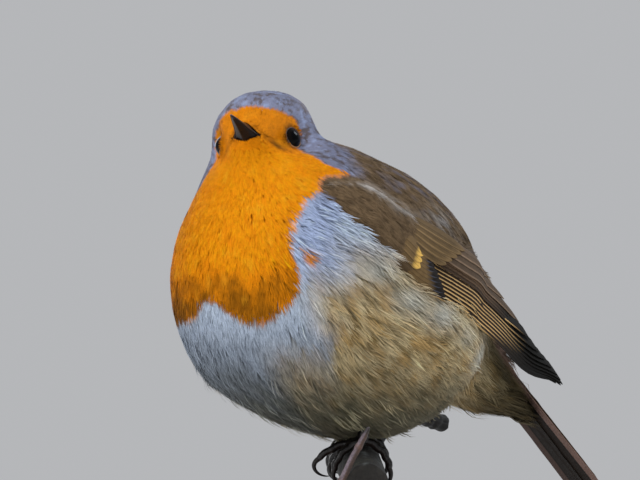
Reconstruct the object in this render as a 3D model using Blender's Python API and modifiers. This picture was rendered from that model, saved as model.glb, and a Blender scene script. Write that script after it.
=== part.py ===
"""European robin, life size, perched on a short cut length of branch that a plain display stand holds up.

Row frame: metres, +Z up, origin at the centre of the stand base's underside. The trunk faces -Y, so the
bird's left side is towards +X. Body places below are in millimetres from the perch point: the top of the
perch midway between the feet.
"""

import math

import bmesh
import bpy
from mathutils import Matrix, Vector

MM = 0.001
GAP = 0.3  # clear space between neighbouring solids
PERCH_TOP = 62.0  # height of the perch point above the floor

# Trunk: level sections from the belly to the shoulders.
# height, middle (back is +), half depth (fore and aft), half width
TRUNK = [
    (1.8, -1.0, 7.5, 7.0),
    (4.0, -2.2, 15.0, 13.5),
    (8.0, -4.0, 23.5, 21.0),
    (14.0, -6.4, 31.5, 27.5),
    (21.0, -7.0, 36.8, 31.5),
    (30.0, -8.3, 39.2, 33.2),
    (40.0, -9.8, 39.0, 33.0),
    (50.0, -10.4, 36.6, 31.0),
    (58.0, -12.0, 31.5, 27.0),
    (65.5, -15.5, 25.2, 21.5),
    (71.5, -21.0, 18.0, 15.5),
    (75.5, -24.0, 11.0, 9.5),
]
TRUNK_SIDES = 40

# Head, turned to the bird's left and lifted. Its own axes are forward, left and up, from midway between
# the eyes.
HEAD_AT = (5.1, -32.2, 71.2)
HEAD_YAW, HEAD_PITCH, HEAD_ROLL = 37.0, 23.0, -5.0
HEAD_BLOBS = {  # middle, half sizes, both forward, left, up
    "skull": ((-7.8, -1.0, 4.9), (12.5, 13.6, 12.2)),
    "brow": ((0.3, -0.6, 4.4), (8.8, 9.7, 8.7)),
    "face": ((3.0, 0.0, -1.9), (7.4, 6.4, 6.0)),
    "cheek_left": ((-5.0, 5.2, -7.6), (9.2, 6.6, 6.8)),
    "cheek_right": ((-5.0, -4.3, -7.0), (9.0, 5.8, 7.0)),
    "throat": ((-4.5, 0.5, -9.5), (11.0, 10.0, 9.0)),
}
EYE_RADIUS = 2.75
EYE_AT = (0.2, 8.2, 0.0)  # forward, left, up of the left eye's middle
BILL_BASE, BILL_TIP = 6.0, 20.0  # forward
BILL_UP = -2.0
BILL_HALF_WIDTH, BILL_RISE, BILL_DROP = 3.5, 2.3, 1.6

# Rump and vent, along the line of the tail.
TAIL_PITCH = 46.0  # degrees below level
TAIL_ROOT = (0.0, 27.5, 34.5)  # middle of the tail's upper face, inside the rump
TAIL_LENGTH, TAIL_THICKNESS = 64.0, 2.4
TAIL_ROOT_WIDTH, TAIL_END_WIDTH = 11.5, 15.5
RUMP_BLOBS = {  # middle, half sizes along the tail, across, through; degrees below level
    "rump": ((0.0, 25.0, 36.5), (19.0, 15.0, 9.8), 48.0),
    "vent": ((0.0, 28.5, 20.6), (18.5, 11.5, 8.8), 38.0),
}

# Left wing, folded: its lower and upper edges from the shoulder to the tip, left, back, up.
WING_LOWER = [
    (23.1, -27.4, 58.6),
    (28.0, -22.9, 52.0),
    (31.5, -15.0, 46.2),
    (32.9, -7.5, 37.5),
    (30.6, 5.5, 32.3),
    (28.0, 16.0, 28.6),
    (24.5, 25.8, 23.8),
    (17.0, 39.0, 17.4),
    (10.6, 50.8, 15.2),
]
WING_UPPER = [
    (23.4, -23.5, 61.0),
    (24.6, -14.5, 61.0),
    (27.2, -7.5, 56.5),
    (27.6, 2.0, 51.0),
    (23.8, 12.9, 46.6),
    (16.6, 22.0, 44.0),
    (9.8, 33.9, 38.4),
    (8.6, 42.5, 29.9),
    (10.3, 51.4, 16.0),
]
WING_SPLIT = 0.44  # share of the length where the coverts end
WING_PROUD = 1.6  # how far the coverts stand out from the trunk
WING_ROOT_THICKNESS, WING_TIP_THICKNESS = 3.4, 1.3
WING_CROWN = 1.6  # outward bow across the flight feathers
WING_ALONG, WING_ACROSS = 20, 6

# Perch: a round twig under the feet, bent back and up beyond them on the bird's right.
PERCH_RADIUS = 5.4
PERCH_TURN = -31.5  # degrees from +X
PERCH_STEPS = 17
PERCH_FALL = 7.0  # the +X end is lower, in degrees
PERCH_ROUTE = [  # along the perch, sideways (back is +), up, radius
    (27.0, 0.5, -1.5, 5.3),
    (14.0, 0.0, 0.0, 5.4),
    (0.0, 0.0, 0.0, 5.4),
    (-15.0, 0.0, 0.0, 5.4),
    (-21.0, 2.0, 3.0, 4.0),
    (-28.0, 7.0, 8.0, 2.8),
    (-37.0, 14.5, 9.0, 2.3),
    (-44.0, 22.0, 6.3, 2.0),
]
SHOOT_ROUTE = [  # as the perch's
    (19.0, -5.6, -5.6, 1.05),
    (24.5, -6.9, -4.2, 1.05),
    (29.3, -5.6, -0.8, 1.05),
    (31.0, -3.0, 5.0, 1.05),
    (31.5, -0.4, 10.0, 1.0),
    (31.8, 1.1, 13.0, 0.95),
]

# Feet, wrapped round the perch.
FOOT_SPACING = 22.0
TOE_RADIUS, CLAW_RADIUS = 0.95, 0.62
CLAW_BEND = math.radians(125)
TOES = {  # first and last angle round the perch (front is +), sideways reach, claw length
    "hind": (-21.0, -84.0, 0.0, 6.4),
    "inner": (21.0, 78.0, -4.8, 4.6),
    "middle": (21.0, 100.0, 0.0, 5.2),
    "outer": (21.0, 82.0, 5.0, 4.6),
}
TARSUS_RADIUS, TARSUS_LENGTH = 1.15, 11.0

BASE_RADIUS, BASE_HEIGHT, BASE_EDGE = 46.0, 9.0, 1.5
ROD_RADIUS = 2.0
ROD_ALONG = -14.0  # where the rod meets the perch, along it from the perch point

COLOURS = {
    "orange": ((0.72, 0.26, 0.02), 0.8),
    "grey": ((0.28, 0.29, 0.33), 0.8),
    "white": ((0.6, 0.6, 0.58), 0.8),
    "brown": ((0.16, 0.12, 0.08), 0.8),
    "dark": ((0.06, 0.05, 0.04), 0.6),
    "black": ((0.01, 0.01, 0.012), 0.15),
    "horn": ((0.03, 0.025, 0.025), 0.35),
    "leg": ((0.1, 0.06, 0.045), 0.5),
    "bark": ((0.07, 0.065, 0.05), 0.85),
    "shoot": ((0.4, 0.27, 0.22), 0.5),
    "base_wood": ((0.2, 0.11, 0.06), 0.45),
    "steel": ((0.45, 0.45, 0.46), 0.3),
}


def clear_scene():
    for obj in list(bpy.data.objects):
        bpy.data.objects.remove(obj)


def collection(name, hidden=False):
    made = bpy.data.collections.new(name)
    bpy.context.scene.collection.children.link(made)
    made.hide_render = hidden
    return made


def material(name):
    colour, roughness = COLOURS[name]
    found = bpy.data.materials.get(name)
    if found:
        return found
    made = bpy.data.materials.new(name)
    made.use_nodes = True
    shader = made.node_tree.nodes["Principled BSDF"]
    shader.inputs["Base Color"].default_value = (*colour, 1)
    shader.inputs["Roughness"].default_value = roughness
    shader.inputs["Metallic"].default_value = 1.0 if name == "steel" else 0.0
    return made


def place(point):
    """A point in millimetres from the perch point, as a row-frame vector in metres."""
    return Vector((point[0], point[1], point[2] + PERCH_TOP)) * MM


def add_object(name, mesh, where, finish=None):
    obj = bpy.data.objects.new(name, mesh)
    where.objects.link(obj)
    if finish:
        mesh.materials.clear()
        mesh.materials.append(material(finish))
    return obj


def mesh_from(bm, name):
    bm.normal_update()
    bmesh.ops.recalc_face_normals(bm, faces=bm.faces)
    mesh = bpy.data.meshes.new(name)
    bm.to_mesh(mesh)
    bm.free()
    mesh.shade_smooth()
    mesh.set_sharp_from_angle(angle=math.radians(40))
    return mesh


def evaluated_mesh(obj):
    """The object's mesh with its modifiers, in world space."""
    graph = bpy.context.evaluated_depsgraph_get()
    made = bpy.data.meshes.new_from_object(obj.evaluated_get(graph))
    made.transform(obj.matrix_world)
    return made


def bake(obj):
    """Puts an object's modifiers and its place into its mesh."""
    bpy.context.view_layer.update()
    obj.data = evaluated_mesh(obj)
    obj.modifiers.clear()
    obj.matrix_world = Matrix.Identity(4)
    return obj


def grown(obj, where):
    """A cutter: the object's mesh moved out on every side by the gap."""
    bm = bmesh.new()
    bm.from_mesh(obj.data)
    bm.normal_update()
    moves = [v.normal * GAP * 1.35 * MM for v in bm.verts]
    for vert, move in zip(bm.verts, moves):
        vert.co += move
    return add_object("cut_" + obj.name, mesh_from(bm, "cut_" + obj.name), where)


def loft(name, rings):
    """A closed mesh through rings of points, capped at both ends."""
    bm = bmesh.new()
    verts = [[bm.verts.new(p) for p in ring] for ring in rings]
    sides = len(rings[0])
    for low, high in zip(verts, verts[1:]):
        for i in range(sides):
            j = (i + 1) % sides
            bm.faces.new((low[i], low[j], high[j], high[i]))
    bm.faces.new(verts[0])
    bm.faces.new(verts[-1])
    bmesh.ops.triangulate(bm, faces=[f for f in bm.faces if len(f.verts) > 4])
    return mesh_from(bm, name)


def smooth_through(points, share):
    """The point at a share of the way along a smooth curve through the points, spaced evenly."""
    points = [Vector(p) for p in points]
    at = min(share, 0.999999) * (len(points) - 1)
    i = int(at)
    t = at - i
    p1, p2 = points[i], points[i + 1]
    p0 = points[i - 1] if i else p1 * 2 - p2
    p3 = points[i + 2] if i + 2 < len(points) else p2 * 2 - p1
    bend = (p0 * 2 - p1 * 5 + p2 * 4 - p3) * t * t + (p1 * 3 - p0 - p2 * 3 + p3) * t**3
    return (p1 * 2 + (p2 - p0) * t + bend) / 2


def trunk_section(height):
    """Middle, half depth and half width of the trunk at a height."""
    heights = [s[0] for s in TRUNK]
    height = min(max(height, heights[0]), heights[-1])
    i = max(k for k in range(len(TRUNK) - 1) if heights[k] <= height)
    share = (i + (height - heights[i]) / (heights[i + 1] - heights[i])) / (len(TRUNK) - 1)
    return smooth_through([s[1:] for s in TRUNK], share)


def trunk_side(back, height):
    """How far the trunk's surface lies to the side at a place, or 0 outside its outline."""
    middle, depth, width = trunk_section(height)
    reach = (back - middle) / depth
    return width * math.sqrt(max(0.0, 1.0 - reach * reach))


def head_matrix():
    """The head's own axes, forward, left and up, as a matrix into perch-point millimetres."""
    forward_left_up = Matrix(((0, 1, 0), (-1, 0, 0), (0, 0, 1)))
    turn = Matrix.Rotation(math.radians(HEAD_YAW), 3, "Z")
    lift = Matrix.Rotation(math.radians(-HEAD_PITCH), 3, "X")
    lean = Matrix.Rotation(math.radians(HEAD_ROLL), 3, "Y")
    return turn @ lift @ lean @ forward_left_up


def in_head(point):
    return head_matrix() @ Vector(point) + Vector(HEAD_AT)


def ellipsoid(name, where, middle, halves, axes, segments=32):
    bm = bmesh.new()
    bmesh.ops.create_uvsphere(bm, u_segments=segments, v_segments=segments // 2, radius=1)
    for v in bm.verts:
        size = Vector((v.co.x * halves[0], v.co.y * halves[1], v.co.z * halves[2]))
        v.co = place(axes @ size + Vector(middle))
    return add_object(name, mesh_from(bm, name), where)


def trunk_mass(where):
    rings = []
    steps = 40
    for k in range(steps + 1):
        height = TRUNK[0][0] + (TRUNK[-1][0] - TRUNK[0][0]) * k / steps
        middle, depth, width = trunk_section(height)
        turn = [2 * math.pi * i / TRUNK_SIDES for i in range(TRUNK_SIDES)]
        rings.append([place((width * math.cos(a), middle + depth * math.sin(a), height)) for a in turn])
    return add_object("trunk_mass", loft("trunk_mass", rings), where)


def whole_body(where):
    """Head, neck, trunk and rump as one smooth closed mesh."""
    masses = [trunk_mass(where)]
    for name, (middle, halves) in HEAD_BLOBS.items():
        masses.append(ellipsoid(name, where, in_head(middle), halves, head_matrix()))
    along_tail = Matrix(((0, 1, 0), (1, 0, 0), (0, 0, 1)))
    for name, (middle, halves, fall) in RUMP_BLOBS.items():
        axes = Matrix.Rotation(math.radians(-fall), 3, "X") @ along_tail
        masses.append(ellipsoid(name, where, middle, halves, axes))
    body = masses[0]
    bm = bmesh.new()
    for mass in masses:
        bm.from_mesh(mass.data)
    body.data = mesh_from(bm, "body")
    for mass in masses[1:]:
        bpy.data.objects.remove(mass)
    remesh = body.modifiers.new("remesh", "REMESH")
    remesh.mode = "VOXEL"
    remesh.voxel_size = 1.5 * MM
    smooth = body.modifiers.new("smooth", "SMOOTH")
    smooth.factor, smooth.iterations = 0.5, 16
    thin = body.modifiers.new("thin", "DECIMATE")
    thin.ratio = 0.05
    return bake(body)


def plate(name, outer, inward):
    """A closed solid from a grid of outer points and the vector inwards at each."""
    bm = bmesh.new()
    top = [[bm.verts.new(place(p)) for p in row] for row in outer]
    under = [[bm.verts.new(place(Vector(p) + n)) for p, n in zip(*rows)] for rows in zip(outer, inward)]
    rows, columns = len(outer), len(outer[0])
    for i in range(rows - 1):
        for j in range(columns - 1):
            for grid in (top, under):
                bm.faces.new((grid[i][j], grid[i][j + 1], grid[i + 1][j + 1], grid[i + 1][j]))
    rim = [(0, j) for j in range(columns)]
    rim += [(i, columns - 1) for i in range(1, rows)]
    rim += [(rows - 1, j) for j in range(columns - 2, -1, -1)]
    rim += [(i, 0) for i in range(rows - 2, 0, -1)]
    for (a, b), (c, d) in zip(rim, rim[1:] + rim[:1]):
        bm.faces.new((top[a][b], top[c][d], under[c][d], under[a][b]))
    bmesh.ops.triangulate(bm, faces=bm.faces)
    return mesh_from(bm, name)


def wing_point(along, across):
    """A point of the left wing's outer surface: along from shoulder to tip, across from lower to upper."""
    low = smooth_through(WING_LOWER, along)
    high = smooth_through(WING_UPPER, along)
    point = low.lerp(high, across)
    crown = 4 * across * (1 - across) * WING_CROWN * (1 - 0.5 * along)
    point.x += crown
    point.z += crown * 0.5
    side = trunk_side(point.y, point.z)
    if side:
        edge = 1.0 - abs(2 * across - 1) ** 4
        proud = WING_PROUD * (0.35 + 0.65 * edge) * min(1.0, 0.3 + along * 6)
        point.x = max(point.x, side + proud)
    return point


def wing_normal(along, across):
    step = 0.02
    a, c = min(max(along, step), 1 - step), min(max(across, step), 1 - step)
    forward = wing_point(a + step, c) - wing_point(a - step, c)
    upward = wing_point(a, c + step) - wing_point(a, c - step)
    return forward.cross(upward).normalized()


def wing_plate(name, side, start, end, low, high):
    """One panel of a wing. low and high give its edges across at each share along."""
    outer, inward = [], []
    rows = max(3, round((end - start) * WING_ALONG))
    for i in range(rows + 1):
        along = start + (end - start) * i / rows
        thick = WING_ROOT_THICKNESS + (WING_TIP_THICKNESS - WING_ROOT_THICKNESS) * along
        bottom, top = low(along), high(along)
        row, row_in = [], []
        for j in range(WING_ACROSS + 1):
            across = bottom + (top - bottom) * j / WING_ACROSS
            rim = 0.35 if j in (0, WING_ACROSS) else 0.0
            normal = wing_normal(along, across)
            point = wing_point(along, across) - normal * rim
            depth = -normal * (thick - 2 * rim)
            row.append(Vector((point.x * side, point.y, point.z)))
            row_in.append(Vector((depth.x * side, depth.y, depth.z)))
        outer.append(row)
        inward.append(row_in)
    return plate(name, outer, inward)


def primaries_top(along):
    """The share across below which the primaries lie: all of it at the tip."""
    share = min(max((along - WING_SPLIT) / (0.9 - WING_SPLIT), 0.0), 1.0)
    return 0.4 + 0.6 * share**2.2


WING_PANELS = {  # start, end, lower edge, upper edge
    "coverts": (0.0, WING_SPLIT - 0.003, lambda a: 0.0, lambda a: 1.0),
    "secondaries": (WING_SPLIT, 0.84, lambda a: primaries_top(a) + 0.03, lambda a: 1.0),
    "primaries": (WING_SPLIT, 1.0, lambda a: 0.0, primaries_top),
}


def make_wings(where, cutters):
    cuts = []
    for side, word in ((1, "left"), (-1, "right")):
        for panel, (start, end, low, high) in WING_PANELS.items():
            name = f"wing_{word}_{panel}"
            made = add_object(name, wing_plate(name, side, start, end, low, high), where, "brown")
            cuts.append(grown(made, cutters))
    return cuts


def tail_mesh(name):
    """The closed tail as a tapered plate with a shallow notch at its end."""
    fall = math.radians(TAIL_PITCH)
    back, out = Vector((0, math.cos(fall), -math.sin(fall))), Vector((0, math.sin(fall), math.cos(fall)))
    outer, inward = [], []
    rows, columns = 8, 8
    for i in range(rows + 1):
        along = i / rows
        width = TAIL_ROOT_WIDTH + (TAIL_END_WIDTH - TAIL_ROOT_WIDTH) * along**0.8
        thick = TAIL_THICKNESS * (1.25 - 0.65 * along)
        row, row_in = [], []
        for j in range(columns + 1):
            share = 2 * j / columns - 1
            length = TAIL_LENGTH * along - (1.8 * (1 - abs(share)) + 2.2 * share**6) * along**3
            roof = -1.6 * share * share
            point = Vector(TAIL_ROOT) + back * length + out * roof
            row.append(point + Vector((share * width / 2, 0, 0)))
            row_in.append(-out * thick * (1 - 0.6 * share**4))
        outer.append(row)
        inward.append(row_in)
    return plate(name, outer, inward)


def bill_outline(t, end):
    """Forward place, half width, middle height, rise and drop of the bill at a share of its length."""
    forward = BILL_BASE + (end - BILL_BASE) * t
    half = BILL_HALF_WIDTH * ((1 - t) ** 0.9 * 0.93 + 0.07)
    slim = 1 - 0.9 * t**1.5
    middle = BILL_UP - 0.4 * t * t - 0.5 * (1 - t) ** 2
    return forward, half, middle, BILL_RISE * slim, BILL_DROP * slim


def bill_mesh(name, upper):
    """One half of the bill, in head axes: an oval cone that the gape line cuts flat."""
    rings, count = [], 7
    for i in range(count + 1):
        forward, half, middle, rise, drop = bill_outline(i / count, BILL_TIP if upper else BILL_TIP - 0.9)
        height = rise if upper else -drop
        gape = middle + math.copysign(GAP / 2, height)
        turn = [math.pi * k / 6 for k in range(7)]
        ring = [(forward, half * math.cos(a), gape + math.sin(a) ** 0.8 * height) for a in turn]
        rings.append([place(in_head(point)) for point in ring])
    return loft(name, rings)


def bill_socket(name):
    """A cutter round both halves of the bill."""
    rings, count = [], 6
    for i in range(count + 1):
        forward, half, middle, rise, drop = bill_outline(i / count, BILL_TIP)
        ring = []
        for k in range(14):
            a = 2 * math.pi * k / 14
            height = (rise if math.sin(a) > 0 else drop) + 0.6 * GAP
            up = math.copysign(abs(math.sin(a)) ** 0.8, math.sin(a)) * (height + GAP)
            ring.append(place(in_head((forward - GAP, (half + 1.3 * GAP) * math.cos(a), middle + up))))
        rings.append(ring)
    return loft(name, rings)


def make_head_pieces(where, cutters):
    cuts = [add_object("cut_bill", bill_socket("cut_bill"), cutters)]
    for name, upper in (("bill_upper", True), ("bill_lower", False)):
        add_object(name, bill_mesh(name, upper), where, "horn")
    for side, word in ((1, "left"), (-1, "right")):
        middle = in_head((EYE_AT[0], EYE_AT[1] * side, EYE_AT[2]))
        eye = ellipsoid(f"eye_{word}", where, middle, (EYE_RADIUS,) * 3, head_matrix(), 14)
        eye.data.materials.append(material("black"))
        cuts.append(grown(eye, cutters))
    return cuts


def perch_frame(along):
    """Middle of the perch and its own along, front and up directions, in perch-point millimetres."""
    turn, fall = math.radians(PERCH_TURN), math.radians(PERCH_FALL)
    line = Vector((math.cos(turn) * math.cos(fall), math.sin(turn) * math.cos(fall), -math.sin(fall)))
    front = Vector((math.sin(turn), -math.cos(turn), 0))
    up = front.cross(line)
    return Vector((0, 0, -PERCH_RADIUS)) + line * along, line, front, up


def along_perch(route, steps):
    """Points and radii of a smooth line through places given along the perch, sideways and up."""
    _, _, front, up = perch_frame(0)
    points, radii = [], []
    for k in range(steps + 1):
        along, back, rise, radius = smooth_through(route, k / steps)
        points.append(perch_frame(along)[0] - front * back + up * rise)
        radii.append(radius)
    return points, radii


def tube(name, points, radii, sides=8):
    """A closed tube with a different radius at each of its points, which are in perch-point millimetres."""
    curve = bpy.data.curves.new(name, "CURVE")
    curve.dimensions = "3D"
    curve.bevel_depth = MM
    curve.bevel_resolution = sides // 2 - 2
    curve.use_fill_caps = True
    spline = curve.splines.new("POLY")
    spline.points.add(len(points) - 1)
    for spot, point, radius in zip(spline.points, points, radii):
        spot.co = (*place(point), 1)
        spot.radius = radius
    obj = bpy.data.objects.new(name, curve)
    bpy.context.scene.collection.objects.link(obj)
    mesh = evaluated_mesh(obj)
    bpy.data.objects.remove(obj)
    bm = bmesh.new()
    bm.from_mesh(mesh)
    bmesh.ops.remove_doubles(bm, verts=bm.verts, dist=1e-6)
    bmesh.ops.triangulate(bm, faces=bm.faces)
    return mesh_from(bm, name)


def make_feet(where, cutters):
    cuts = []
    clear = PERCH_RADIUS + GAP + TOE_RADIUS
    for side, word in ((1, "left"), (-1, "right")):
        middle, line, front, up = perch_frame(side * FOOT_SPACING / 2)

        def round_perch(angle, sideways, lift=0.0):
            a = math.radians(angle)
            return middle + (up * math.cos(a) + front * math.sin(a)) * (clear + lift) + line * sideways

        ball = round_perch(0, 0, 0.9)
        axes = Matrix((line, front, up)).transposed()
        foot = ellipsoid(f"foot_{word}", where, ball, (2.0, 1.9, 1.35), axes, 10)
        foot.data.materials.append(material("leg"))
        cuts.append(grown(foot, cutters))
        for toe, (first, last, reach, claw) in TOES.items():
            steps, points = 5, []
            for k in range(steps + 1):
                t = k / steps
                angle = first + (last - first) * t
                knuckle = 0.28 * math.sin(math.pi * 3 * t) ** 2
                sideways = reach * side * (0.5 + 0.5 * math.sin(math.pi / 2 * t))
                points.append(round_perch(angle, sideways, 0.75 * (1 - t) ** 2 + knuckle))
            radii = [TOE_RADIUS * (1.0 - 0.22 * k / steps) for k in range(steps + 1)]
            name = f"toe_{word}_{toe}"
            cuts.append(grown(add_object(name, tube(name, points, radii, 6), where, "leg"), cutters))
            tip = points[-1]
            heading = (points[-1] - points[-2]).normalized()
            a = math.radians(last)
            outward = up * math.cos(a) + front * math.sin(a)
            start = tip + heading * (CLAW_RADIUS + GAP)
            lead, rise = (heading + outward * 0.5).normalized(), (outward - heading * 0.5).normalized()
            radius = claw / CLAW_BEND
            claw_points, claw_radii = [], []
            for k in range(5):
                bend = CLAW_BEND * k / 4
                claw_points.append(start + (lead * math.sin(bend) + rise * (math.cos(bend) - 1)) * radius)
                claw_radii.append(CLAW_RADIUS * (1.0 - 0.75 * (k / 4) ** 1.3))
            name = f"claw_{word}_{toe}"
            add_object(name, tube(name, claw_points, claw_radii, 6), where, "horn")
        top = ball + up * TARSUS_LENGTH - front * 2.5
        ankle = ball + (top - ball).normalized() * (1.35 + GAP)
        name = f"leg_{word}"
        shank = add_object(name, tube(name, [ankle, top], [TARSUS_RADIUS] * 2), where, "leg")
        cuts.append(grown(shank, cutters))
    return cuts


def cut(obj, cutters):
    for cutter in cutters:
        step = obj.modifiers.new(cutter.name, "BOOLEAN")
        step.operation, step.solver, step.object = "DIFFERENCE", "EXACT", cutter
    return bake(obj)


def make_perch(where):
    points, radii = along_perch(PERCH_ROUTE, PERCH_STEPS)
    perch = add_object("perch", tube("perch", points, radii, 12), where, "bark")
    points, radii = along_perch(SHOOT_ROUTE, 9)
    add_object("perch_shoot", tube("perch_shoot", points, radii), where, "shoot")
    return perch


def turned(name, profile, where, finish, at=(0, 0)):
    """A turned solid: a profile of radius and height, top to bottom down its outer side, swept by a Screw."""
    bm = bmesh.new()
    verts = [bm.verts.new((r * MM, 0, z * MM)) for r, z in profile]
    for a, b in zip(verts, verts[1:]):
        bm.edges.new((a, b))
    mesh = bpy.data.meshes.new(name)
    bm.to_mesh(mesh)
    bm.free()
    obj = add_object(name, mesh, where, finish)
    obj.location = (at[0] * MM, at[1] * MM, 0)
    screw = obj.modifiers.new("turn", "SCREW")
    screw.steps = screw.render_steps = 32
    screw.use_merge_vertices, screw.merge_threshold = True, 1e-5
    bake(obj)
    obj.data.materials.clear()
    obj.data.materials.append(material(finish))
    return obj


def make_stand(where, cutters, perch):
    middle = perch_frame(ROD_ALONG)[0]
    at = (middle.x, middle.y)
    socket, seat = 3.0, middle.z + PERCH_TOP - PERCH_RADIUS + 4.0
    base_profile = [
        (0, BASE_HEIGHT),
        (BASE_RADIUS - BASE_EDGE, BASE_HEIGHT),
        (BASE_RADIUS, BASE_HEIGHT - BASE_EDGE),
        (BASE_RADIUS, 0),
        (0, 0),
    ]
    base = turned("stand_base", base_profile, where, "base_wood")
    rod_profile = [(0, seat), (ROD_RADIUS, seat), (ROD_RADIUS, socket), (0, socket)]
    turned("stand_rod", rod_profile, where, "steel", at)
    wide, top, bottom = ROD_RADIUS + GAP, seat + GAP, socket - GAP
    hole = turned("cut_rod", [(0, top), (wide, top), (wide, bottom), (0, bottom)], cutters, "steel", at)
    cut(base, [hole])
    cut(perch, [hole])


def keep_largest(bm):
    """Drops the crumbs that cuts leave: all but the connected piece with the most points."""
    left, islands = set(bm.verts), []
    while left:
        island, queue = set(), [left.pop()]
        while queue:
            vert = queue.pop()
            island.add(vert)
            for edge in vert.link_edges:
                other = edge.other_vert(vert)
                if other in left:
                    left.remove(other)
                    queue.append(other)
        islands.append(island)
    islands.sort(key=len)
    for island in islands[:-1]:
        bmesh.ops.delete(bm, geom=list(island), context="VERTS")


def split(obj, where, pieces):
    """Parts a closed mesh with planes.

    pieces: name, finish, and the planes (point, normal) whose far side is kept.
    """
    for name, finish, planes in pieces:
        bm = bmesh.new()
        bm.from_mesh(obj.data)
        for point, normal in planes:
            normal = Vector(normal).normalized()
            at = place(point) + normal * GAP * MM / 2
            geometry = bm.verts[:] + bm.edges[:] + bm.faces[:]
            bmesh.ops.bisect_plane(
                bm, geom=geometry, dist=1e-7, plane_co=at, plane_no=normal, clear_inner=True
            )
            rim = [e for e in bm.edges if e.is_boundary]
            if rim:
                bmesh.ops.triangle_fill(bm, use_beauty=True, use_dissolve=False, edges=rim, normal=normal)
        bmesh.ops.remove_doubles(bm, verts=bm.verts, dist=1e-6)
        keep_largest(bm)
        bmesh.ops.triangulate(bm, faces=bm.faces)
        add_object(name, mesh_from(bm, name), where, finish)
    bpy.data.objects.remove(obj)


def turned_about(normal):
    return tuple(-n for n in normal)


def main():
    clear_scene()
    robin = collection("european_robin")
    cutters = collection("cutters", hidden=True)
    body = whole_body(cutters)
    cuts = make_wings(robin, cutters)
    cuts.append(grown(add_object("tail", tail_mesh("tail"), robin, "brown"), cutters))
    cuts += make_head_pieces(robin, cutters)
    cuts += make_feet(robin, cutters)
    perch = make_perch(robin)
    make_stand(robin, cutters, perch)
    cut(body, cuts)
    nape = ((0, -22, 66), (0.22, -0.42, 0.9))
    collar = ((0, -20, 58), (0.1, -0.3, 0.95))
    chest = ((0, -14, 30), (0, -1, 0.25))
    rear = ((0, 21, 30), (0, 0.67, -0.74))
    back = lambda plane: (plane[0], turned_about(plane[1]))
    split(
        body,
        robin,
        [
            ("head", "orange", [nape]),
            ("neck", "orange", [back(nape), collar]),
            ("breast", "orange", [back(collar), chest]),
            ("trunk", "white", [back(collar), back(chest), back(rear)]),
            ("rump", "brown", [back(collar), back(chest), rear]),
        ],
    )
    for cutter in cutters.objects:
        cutter.hide_render, cutter.display_type = True, "WIRE"


main()
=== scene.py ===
"""European robin on its perch and display stand, with skin, plumage, eyes, bill, feet and a plain studio.

Places are in millimetres from the perch point, the top of the perch midway between the feet, with the trunk
facing -Y, the bird's left side towards +X and Z up. Meshes are moved into the frame's metres when made.
"""

import math

import bmesh
import bpy
import numpy as np
from mathutils import Matrix, Vector
from mathutils.bvhtree import BVHTree
from mathutils.kdtree import KDTree


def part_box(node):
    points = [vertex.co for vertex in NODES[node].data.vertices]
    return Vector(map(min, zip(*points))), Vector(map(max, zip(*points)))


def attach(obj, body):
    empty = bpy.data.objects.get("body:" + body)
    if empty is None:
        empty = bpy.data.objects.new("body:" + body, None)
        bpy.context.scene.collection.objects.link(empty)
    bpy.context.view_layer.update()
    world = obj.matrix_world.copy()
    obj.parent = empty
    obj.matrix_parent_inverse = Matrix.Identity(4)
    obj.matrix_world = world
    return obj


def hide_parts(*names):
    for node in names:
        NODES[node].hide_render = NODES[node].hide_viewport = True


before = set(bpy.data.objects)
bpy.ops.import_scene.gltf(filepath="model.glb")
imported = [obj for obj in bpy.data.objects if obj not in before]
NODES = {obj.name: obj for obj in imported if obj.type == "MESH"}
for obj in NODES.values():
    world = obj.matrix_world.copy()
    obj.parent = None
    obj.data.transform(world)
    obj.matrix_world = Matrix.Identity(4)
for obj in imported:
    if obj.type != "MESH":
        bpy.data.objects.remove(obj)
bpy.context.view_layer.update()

MM = 0.001
PERCH_TOP = 62.0
rng = np.random.default_rng(11)

# ---------------------------------------------------------------- camera

AZIMUTH, ELEVATION = math.radians(57), math.radians(-3)
LENS, SENSOR, DISTANCE = 350.0, 36.0, 1.5
AIM_LEFT, AIM_UP = 9.64, 49.4  # from the perch point to the middle of the view, in millimetres


def make_camera():
    """A long lens on the bird's front left, a little below it."""
    back = Vector(
        (
            math.sin(AZIMUTH) * math.cos(ELEVATION),
            -math.cos(AZIMUTH) * math.cos(ELEVATION),
            math.sin(ELEVATION),
        )
    )
    right = Vector((math.cos(AZIMUTH), math.sin(AZIMUTH), 0))
    up = back.cross(right)
    target = Vector((0, 0, PERCH_TOP)) * MM - right * AIM_LEFT * MM + up * AIM_UP * MM
    data = bpy.data.cameras.new("camera")
    data.lens, data.sensor_width = LENS, SENSOR
    data.clip_start, data.clip_end = 0.05, 50
    obj = bpy.data.objects.new("camera", data)
    obj.matrix_world = Matrix.Translation(target + back * DISTANCE) @ Matrix(
        (right, up, back)
    ).transposed().to_4x4()
    bpy.context.scene.collection.objects.link(obj)
    bpy.context.scene.camera = obj


make_camera()

# ---------------------------------------------------------------- small tools


def unit(v):
    """Vectors at length 1."""
    return v / np.maximum(np.linalg.norm(v, axis=-1, keepdims=True), 1e-9)


def lengths_of(v):
    """Lengths of an array of vectors."""
    return np.linalg.norm(v, axis=-1)


def smoothstep(low, high, x):
    """From 0 at low to 1 at high, eased at both ends. low may be the larger one."""
    t = np.clip((x - low) / (high - low), 0, 1)
    return t * t * (3 - 2 * t)


def mix(a, b, t):
    """From a to b by a share for each row."""
    t = np.asarray(t)[..., None]
    return a * (1 - t) + b * t


def linear(*rgb):
    """A colour given as sRGB from 0 to 255, as linear values."""
    c = np.array(rgb, float) / 255
    return np.where(c <= 0.04045, c / 12.92, ((c + 0.055) / 1.055) ** 2.4)


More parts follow.
